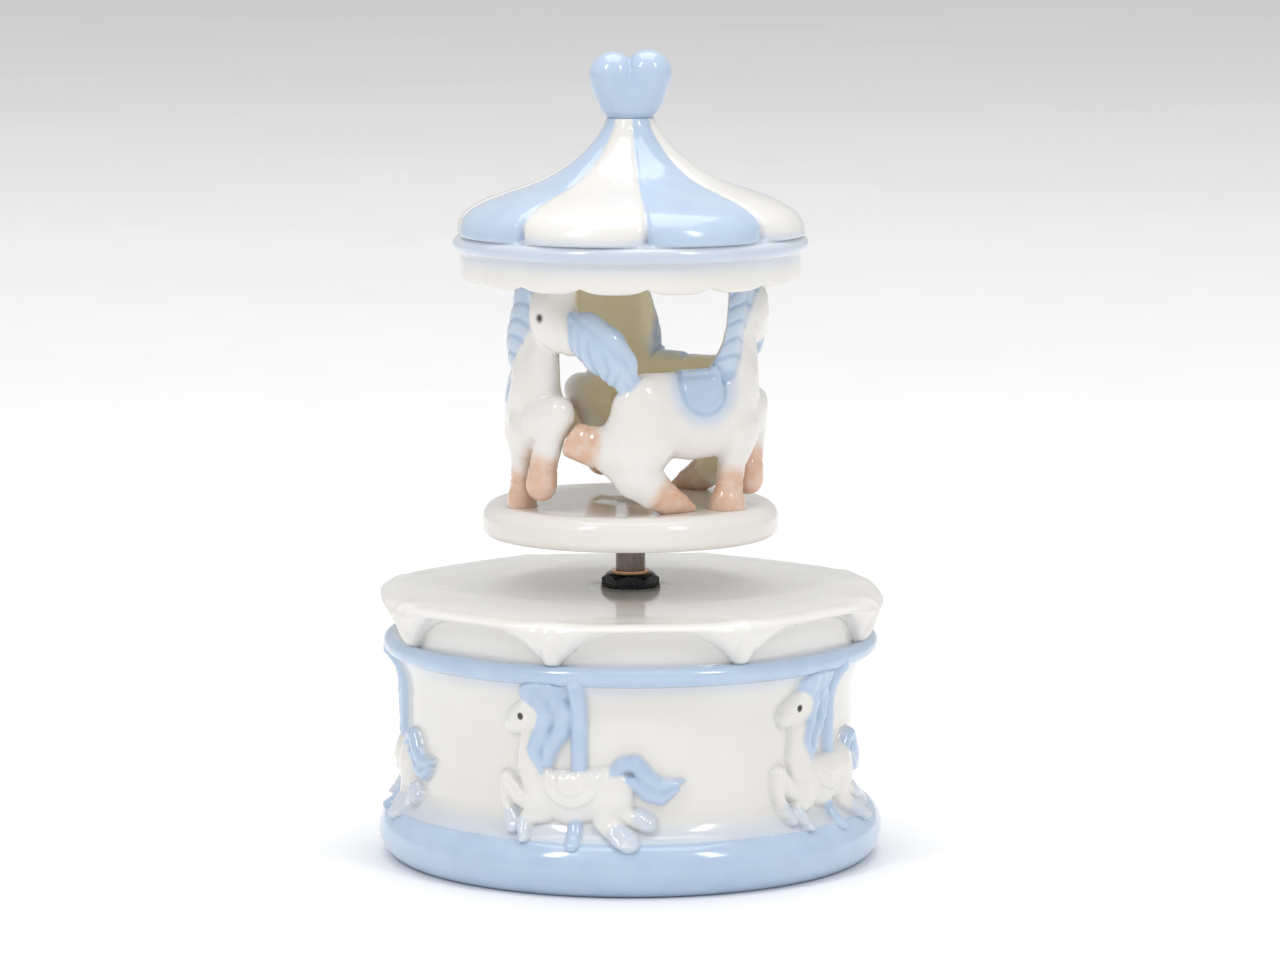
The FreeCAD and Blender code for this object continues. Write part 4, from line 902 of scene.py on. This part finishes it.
def raise_saddle(clay, outward):
    """The round saddle cloth with its rim and seat line. Gives its paint as (blue, painted shade in
    the rim's groove and the seat line).
    """
    away = np.hypot(clay.x - SADDLE_SEAT[0], clay.y - SADDLE_SEAT[1])
    on_top = np.maximum(outward, smooth_step(clay.y, 97.4, 98.6))
    clay.sink(-0.42 * smooth_step(away, 5.4, 4.7) * on_top)
    clay.sink(0.38 * bump(away - SADDLE_RADIUS, 0.42) * on_top)
    within = smooth_step(np.abs(clay.x - SADDLE_SEAT[0]), 6.2, 5.2)
    seat_line = bump(clay.y - SADDLE_LINE_HEIGHT, 0.4) * within * outward
    clay.sink(0.26 * seat_line)
    blue = 0.70 * smooth_step(away, 9.8, 5.6) + 0.26 * smooth_step(away, 5.4, 4.8)
    # The second value is painted shade in the groove round the rim and in the seat line.
    return blue, 0.85 * bump(away - SADDLE_RADIUS, 0.4) + 0.6 * seat_line


def comb_hair(clay, mane, tail, outward):
    """Locks across the mane, and barbs and a crest along the tail. Gives back the grooves."""
    locks = across(clay, MANE, 6.3, 0.11, -0.22)
    clay.sink(0.42 * locks * smooth_step(mane, 0.6, -0.4) * outward)
    length, side = clay.along(TAIL)
    wave = length * 0.30 + np.abs(side) * 0.34 + 0.35 * np.sin(length * 0.5)
    barbs = grooves(wave) * smooth_step(-side, -0.9, 0.8)
    crest = 0.5 * grooves(side * 0.32 + 0.5) * smooth_step(side, -1.0, 1.5)
    strands = np.maximum(barbs, crest)
    clay.sink(0.40 * strands * smooth_step(tail, 0.4, -0.5) * smooth_step(clay.z, 24.0, 25.6))
    return locks, strands


def carve_hoof_lines(clay):
    for (angle, height), facing in HOOF_LINES:
        place = (angle * PER_DEGREE, height)
        ring = clay.side_of(place, facing)
        near = smooth_step(np.hypot(clay.x - place[0], clay.y - place[1]), 6.4, 4.6)
        clay.sink(0.26 * bump(ring, 0.32) * near)


def carve_face(clay, outward):
    """Eye, nostril and jaw line. Gives the distance from the eye, in eye sizes."""
    eye = np.sqrt(((clay.x - HORSE_EYE[0]) / 0.70) ** 2 + ((clay.y - HORSE_EYE[1]) / 0.82) ** 2)
    clay.sink(0.22 * bump(eye, 1.9) * outward)
    clay.sink(-0.20 * bump(eye, 0.9) * outward)
    nostril = np.hypot(clay.x - HORSE_NOSTRIL[0], clay.y - HORSE_NOSTRIL[1])
    clay.sink(0.18 * bump(nostril, 0.5) * outward)
    clay.cut(clay.limb(JAW, 26.6, 1.3) + 0.25, 1.6)
    return eye


def hoof_blush(clay):
    hooves = np.full_like(clay.x, FAR_AWAY)
    for knots, depth in HORSE_HOOVES:
        hooves = np.minimum(hooves, clay.limb(knots, depth, 1.0))
    blush = smooth_step(hooves, 2.6, -0.4)
    return np.maximum(blush, 0.6 * smooth_step(clay.limb(FORE_FETLOCK, 24.6), 2.4, 0.0))


def bend_to_ring(points):
    """Turns unrolled points into (angle, height, radius), with the figure's own bend."""
    points[:, 0] /= PER_DEGREE
    angle, height, radius = points[:, 0], points[:, 1], points[:, 2]
    turned_back = np.radians(np.clip(NECK_TOUCH - angle, 0, NECK_SPAN))
    straight = NECK_STRAIGHTNESS * NECK_RADIUS * (1 / np.cos(turned_back) - 1)
    before_haunch = smooth_step(angle, 22.0, 42.0)
    neck_share = smooth_step(height, 96.5, 105.0) * before_haunch
    sag = SAG * bump(angle - SAG_MIDDLE, SAG_SPREAD) * (1 - neck_share)
    pressed = MANE_PRESS * smooth_step(radius, 21.6, 26.6) * smooth_step(height, 97.0, 105.0)
    pressed *= smooth_step(angle, 77.0, 66.0) * before_haunch
    points[:, 2] += straight * neck_share - sag - pressed


def build_horses():
    floor = height_range("turntable")[1]
    ceiling = height_range("horse_1")[1] + 0.6
    low = (-37.5 * PER_DEGREE, floor - 1.0, 16.6)
    high = (103 * PER_DEGREE, ceiling + 0.8, 29.4)
    clay = Clay(low, high, HORSE_PITCH)
    outward = smooth_step(clay.z, 23.5, 25.0)
    mane, tail = press_limbs(clay)
    saddle_blue, saddle_crease_shade = raise_saddle(clay, outward)
    locks, strands = comb_hair(clay, mane, tail, outward)
    carve_hoof_lines(clay)
    eye = carve_face(clay, outward)
    hollow = HORSE_INSIDE + 2.4 * smooth_step(clay.y, 98.0, 109.0)
    clay.keep(hollow - clay.z + 0.35 * np.sin(clay.x * 0.5), 1.6)
    clay.keep(clay.z - HORSE_OUTSIDE, 1.2)
    clay.keep(np.maximum(floor - 0.15 - clay.y, clay.y - ceiling), 0.2)

    front = smooth_step(clay.z, 19.6, 22.0)
    tail_blue = smooth_step(tail, 0.9, -0.2) * smooth_step(clay.z, 21.6, 23.6)
    mane_blue = smooth_step(mane, 0.9, -0.3) * smooth_step(clay.z - hollow, 1.2, 2.6)
    hair_blue = np.maximum(tail_blue, mane_blue)
    # Painted shade in the grooves between the mane's locks and between the tail's strands.
    hair_crease_shade = np.maximum(locks * mane_blue * 0.75, strands * tail_blue * 0.7)
    points, faces, layers = clay.skin({
        "blue": np.clip(np.maximum(hair_blue, saddle_blue * front), 0, 1),
        "crease_shade": np.clip(hair_crease_shade + saddle_crease_shade * front, 0, 1),
        "blush": np.clip(hoof_blush(clay), 0, 1) * front,
        # Painted shade on the inside of the ring of horses.
        "inside_shade": smooth_step(clay.z - hollow, 3.4, 0.8),
        "dot": smooth_step(eye, 1.15, 0.85) * outward,
    })
    bend_to_ring(points)
    for number in range(HORSES):
        turned = points.copy()
        turned[:, 0] += number * 360 / HORSES
        make_piece(f"carousel_horse_{number + 1}", to_round(turned), faces, porcelain, "carousel",
                   [f"horse_{number + 1}"], layers)


# --- Roof and heart ---

SCALLOPS = 16
PANELS = 8
PANEL_PHASE = 5.5
VALANCE_INSIDE = 31.6
VALANCE_OUTSIDE = 33.75
VALANCE_TOP = 121.0
ROOF_BEAD_HEIGHT = 122.6
ROOF_BEAD_RADIUS = 33.8
ROOF_BEAD_TUBE = 1.6
# The valance's rounded hem, as (share of its height, how far outward).
HEM = ((0.5, 0.15), (0.12, 0.25), (0.02, 0.75), (0.0, 1.1), (0.02, 1.5), (0.12, 1.95))
# The roof's outside from the bead to its neck, as (radius, height).
ROOF_PROFILE = [(34.7, 124.6), (34.4, 126.3), (33.6, 127.9), (32.0, 129.5), (29.1, 131.1),
                (24.5, 132.8), (19.7, 134.4), (16.1, 136.0), (13.4, 137.6), (11.2, 139.2),
                (9.4, 140.8), (7.8, 142.5), (6.5, 144.1), (5.5, 145.7)]
ROOF_NECK = 4.7


def add_valance(outline, low, ceiling):
    """The scalloped edge that hangs below the roof's bead, and the bead."""
    _, lobe = from_nearest(angles, PANEL_PHASE, SCALLOPS)
    hem = low + 1.1 * (1 - lobe) ** 3.0
    puff = 0.22 * (1 - (1 - lobe) ** 2.2)
    outline.add(VALANCE_INSIDE - 0.2, ceiling)
    outline.add(VALANCE_INSIDE, ceiling - 0.2)
    for share, outward in HEM:
        outline.add(VALANCE_INSIDE + outward, hem + share * (ceiling - hem))
    for share in np.linspace(0.1, 1.0, 9):
        height = hem + share * (VALANCE_TOP - hem)
        belly = puff * math.sin(math.pi * share) ** 0.5 * (1 - 0.6 * share)
        outline.add(VALANCE_OUTSIDE + belly, height, 0.50 * smooth_step(height, 117.6, 121.4))
    bead_low = (ROOF_BEAD_RADIUS, ROOF_BEAD_HEIGHT - ROOF_BEAD_TUBE)
    bead_high = (ROOF_BEAD_RADIUS, ROOF_BEAD_HEIGHT + ROOF_BEAD_TUBE)
    for radius, height in arc(bead_low, bead_high, ROOF_BEAD_TUBE + HALF_ROUND, 12)[1:]:
        outline.add(radius, height, 0.50 + 0.22 * bump(height - ROOF_BEAD_HEIGHT, 1.1))


def add_panels(outline, high):
    """The roof's swelling panels, blue and white in turn, with a groove along each seam."""
    seam, panel = from_nearest(angles, PANEL_PHASE, PANELS)
    panel_number = np.floor((angles - PANEL_PHASE) % 360 / (360 / PANELS)).astype(int)
    side_of_seam = np.where(panel_number % 2 == 0, np.abs(seam), -np.abs(seam))
    corner = (1 - panel) ** 4.0
    profile = curve(ROOF_PROFILE + [(ROOF_NECK, high)], 4)
    for index, (radius, height) in enumerate(profile):
        share = index / (len(profile) - 1)
        strength = max((1 - share) ** 0.8 * smooth_step(radius, 4.6, 9.0),
                       0.24 * smooth_step(share, 1.0, 0.9))
        groove = -1.15 * strength * bump(seam * radius * math.radians(1), 0.75)
        swell = 0.75 * strength * (1 - (1 - panel) ** 2) - 0.35 * strength
        tuck = -1.3 * corner * smooth_step(height, 128.5, 124.8)
        crisp = 0.35 + 0.004 * radius
        tint = smooth_step(side_of_seam * radius * math.radians(1), -crisp, crisp)
        lower = 0.55 * smooth_step(height, 126.6, 124.4)
        outline.add(radius + groove + swell + tuck,
                    height + 0.5 * corner * smooth_step(height, 127.5, 124.6),
                    np.maximum(tint * 0.96, lower))


def build_roof():
    low, high = height_range("roof")
    ceiling = height_range("horse_1")[1]
    outline = Outline("blue")
    add_valance(outline, low, ceiling)
    add_panels(outline, high)
    for radius in (3.6, 2.0, 0.4):
        outline.add(radius, high, 0.9)
    outline.add(0.4, ceiling + 0.1)
    outline.add(16.0, ceiling)
    turned_piece("porcelain_roof", outline, "carousel", "roof")


HEART_PITCH = 0.27


def build_heart():
    low, high = height_range("heart_finial")
    lobe, spread, flat = 4.8, 3.4, 0.98
    clay = Clay((-9.4, low - 0.6, -5.6), (9.4, high + 0.6, 5.6), HEART_PITCH)
    neck = (0, low + 1.0, 4.7)
    stem = [(0, low - 2.0, 4.6), neck]
    left = [(-spread, high - lobe - 0.45, lobe), (-1.6, low + 3.9, 4.9), neck]
    right = [(spread, high - lobe, lobe), (1.6, low + 3.9, 4.9), neck]
    for knots, blend in ((stem, 0.5), (left, 1.2), (right, 0.2)):
        clay.add(clay.limb(knots, 0.0, flat), blend)
    notch = [(-0.25, high + 0.6, 1.2), (-0.15, high - 1.2, 0.25)]
    clay.cut(clay.limb(notch, 0.0, 8.0), 0.7)
    clay.sink(0.3 * bump(clay.y - low - 0.3, 0.5))
    clay.keep(low - clay.y, 0.2)
    # Painted shade round the heart's foot, where it meets the roof, and in its notch.
    rim_shade = smooth_step(clay.y, low + 1.6, low + 0.2)
    notch_shade = 0.5 * bump(clay.x, 0.7) * smooth_step(clay.y, high - 4.2, high - 2.2)
    points, faces, layers = clay.skin({
        "blue": np.ones_like(clay.x) * 0.97,
        "crease_shade": 0.55 * rim_shade + notch_shade,
    })
    placed = np.stack([points[:, 0], -points[:, 2], points[:, 1]], 1)
    make_piece("heart", placed, faces, porcelain, "carousel",
               ["heart_finial"], layers)


# --- Worm thread on the governor shaft ---

GOVERNOR_SHAFT_RADIUS = 0.5
WORM_HALF_LENGTH = 4.2
WORM_PITCH = 1.1
WORM_ROWS = 110
WORM_COLUMNS = 32
THREAD_HEIGHT = 0.17
TIP_RADIUS = 0.02


def build_worm():
    low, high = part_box("worm_shaft")
    centre = (low + high) / 2 / MM
    shaft = GOVERNOR_SHAFT_RADIUS
    core = reach("worm_shaft")
    bottom, top = height_range("worm_shaft")
    middle = (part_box("worm_wheel")[0].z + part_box("worm_wheel")[1].z) / 2 / MM
    worm_low, worm_high = middle - WORM_HALF_LENGTH, middle + WORM_HALF_LENGTH
    # Rows are (radius, height, 1 where threaded).
    rows = [(TIP_RADIUS, bottom, 0), (shaft * 0.8, bottom, 0), (shaft, bottom + 0.15, 0),
            (shaft, worm_low - 0.1, 0), (core * 0.9, worm_low, 0)]
    threaded_heights = np.linspace(worm_low + 0.1, worm_high - 0.1, WORM_ROWS)
    rows += [(core, height, 1) for height in threaded_heights]
    rows += [(core * 0.9, worm_high, 0), (shaft, worm_high + 0.1, 0), (shaft, top - 0.15, 0),
             (shaft * 0.8, top, 0), (TIP_RADIUS, top, 0)]
    turn = np.arange(WORM_COLUMNS) / WORM_COLUMNS
    around = 2 * np.pi * turn
    points = []
    for radius, height, threaded in rows:
        phase = (height / WORM_PITCH - turn) % 1.0
        thread = threaded * THREAD_HEIGHT * bump(phase - 0.5, 0.17)
        r = radius * (1 - 0.1 * threaded) + thread
        points.append(np.stack([centre.x + r * np.sin(around), centre.y - r * np.cos(around),
                                np.full(WORM_COLUMNS, height)], 1))
    faces = ring_faces(len(rows), WORM_COLUMNS, closed_rows=False)
    make_piece("worm", np.concatenate(points), faces, materials["shaft_steel"], "governor",
               ["worm_shaft"], {})


build_drum()
build_reliefs()
build_turntable()
build_horses()
build_roof()
build_heart()
build_worm()


# --- Floor, light and camera ---

# From here on, places and sizes are in metres, and lamps in watts.
FLOOR_HALF_WIDTH = 12.0
SKY_STRENGTH = 0.61
LAMP_AIM = (0, 0, 0.08)
# Each softbox's name, place, size and power.
SOFTBOXES = (
    ("softbox_left", (-0.56, -0.64, 0.92), (0.14, 0.40), 2.8),
    ("softbox_right", (0.60, -0.62, 0.86), (0.12, 0.36), 2.35),
    ("softbox_top", (0.0, 0.30, 2.6), (2.2, 2.2), 34.0),
)
CAMERA_PLACE = (0.0, -1.0, 0.205)
CAMERA_AIM = (0.0019, 0.0, 0.075)
CAMERA_LENS = 141.9
CAMERA_SENSOR = 36.0


def aimed(thing, place, target):
    thing.location = place
    way = Vector(target) - Vector(place)
    thing.rotation_euler = way.to_track_quat("-Z", "Y").to_euler()
    bpy.context.scene.collection.objects.link(thing)


def build_floor():
    mesh = bpy.data.meshes.new("floor")
    half = FLOOR_HALF_WIDTH
    corners = [(-half, -half, 0), (half, -half, 0), (half, half, 0), (-half, half, 0)]
    mesh.from_pydata(corners, [], [(0, 1, 2, 3)])
    s = Shader("floor_paper")
    colour = s.mix(s.patches(3.0, 2.0, 0.3), (0.97, 0.97, 0.97), (0.95, 0.95, 0.955))
    mesh.materials.append(s.finish(colour, s.span(s.noise(30.0, 3.0), 0.3, 0.7, 0.55, 0.65)))
    floor = bpy.data.objects.new("floor", mesh)
    bpy.context.scene.collection.objects.link(floor)


def build_light():
    world = bpy.data.worlds.new("studio")
    world.use_nodes = True
    background = world.node_tree.nodes["Background"]
    background.inputs["Color"].default_value = (1.0, 1.0, 1.0, 1)
    background.inputs["Strength"].default_value = SKY_STRENGTH
    bpy.context.scene.world = world
    bpy.context.scene.view_settings.view_transform = "Standard"
    for name, place, size, power in SOFTBOXES:
        data = bpy.data.lights.new(name, "AREA")
        data.shape = "RECTANGLE"
        data.size, data.size_y = size
        data.energy = power
        aimed(bpy.data.objects.new(name, data), place, LAMP_AIM)


def build_camera():
    data = bpy.data.cameras.new("camera")
    data.sensor_width = CAMERA_SENSOR
    data.lens = CAMERA_LENS
    data.clip_start = 0.05
    data.clip_end = 20.0
    camera = bpy.data.objects.new("camera", data)
    aimed(camera, CAMERA_PLACE, CAMERA_AIM)
    bpy.context.scene.camera = camera


build_floor()
build_light()
build_camera()
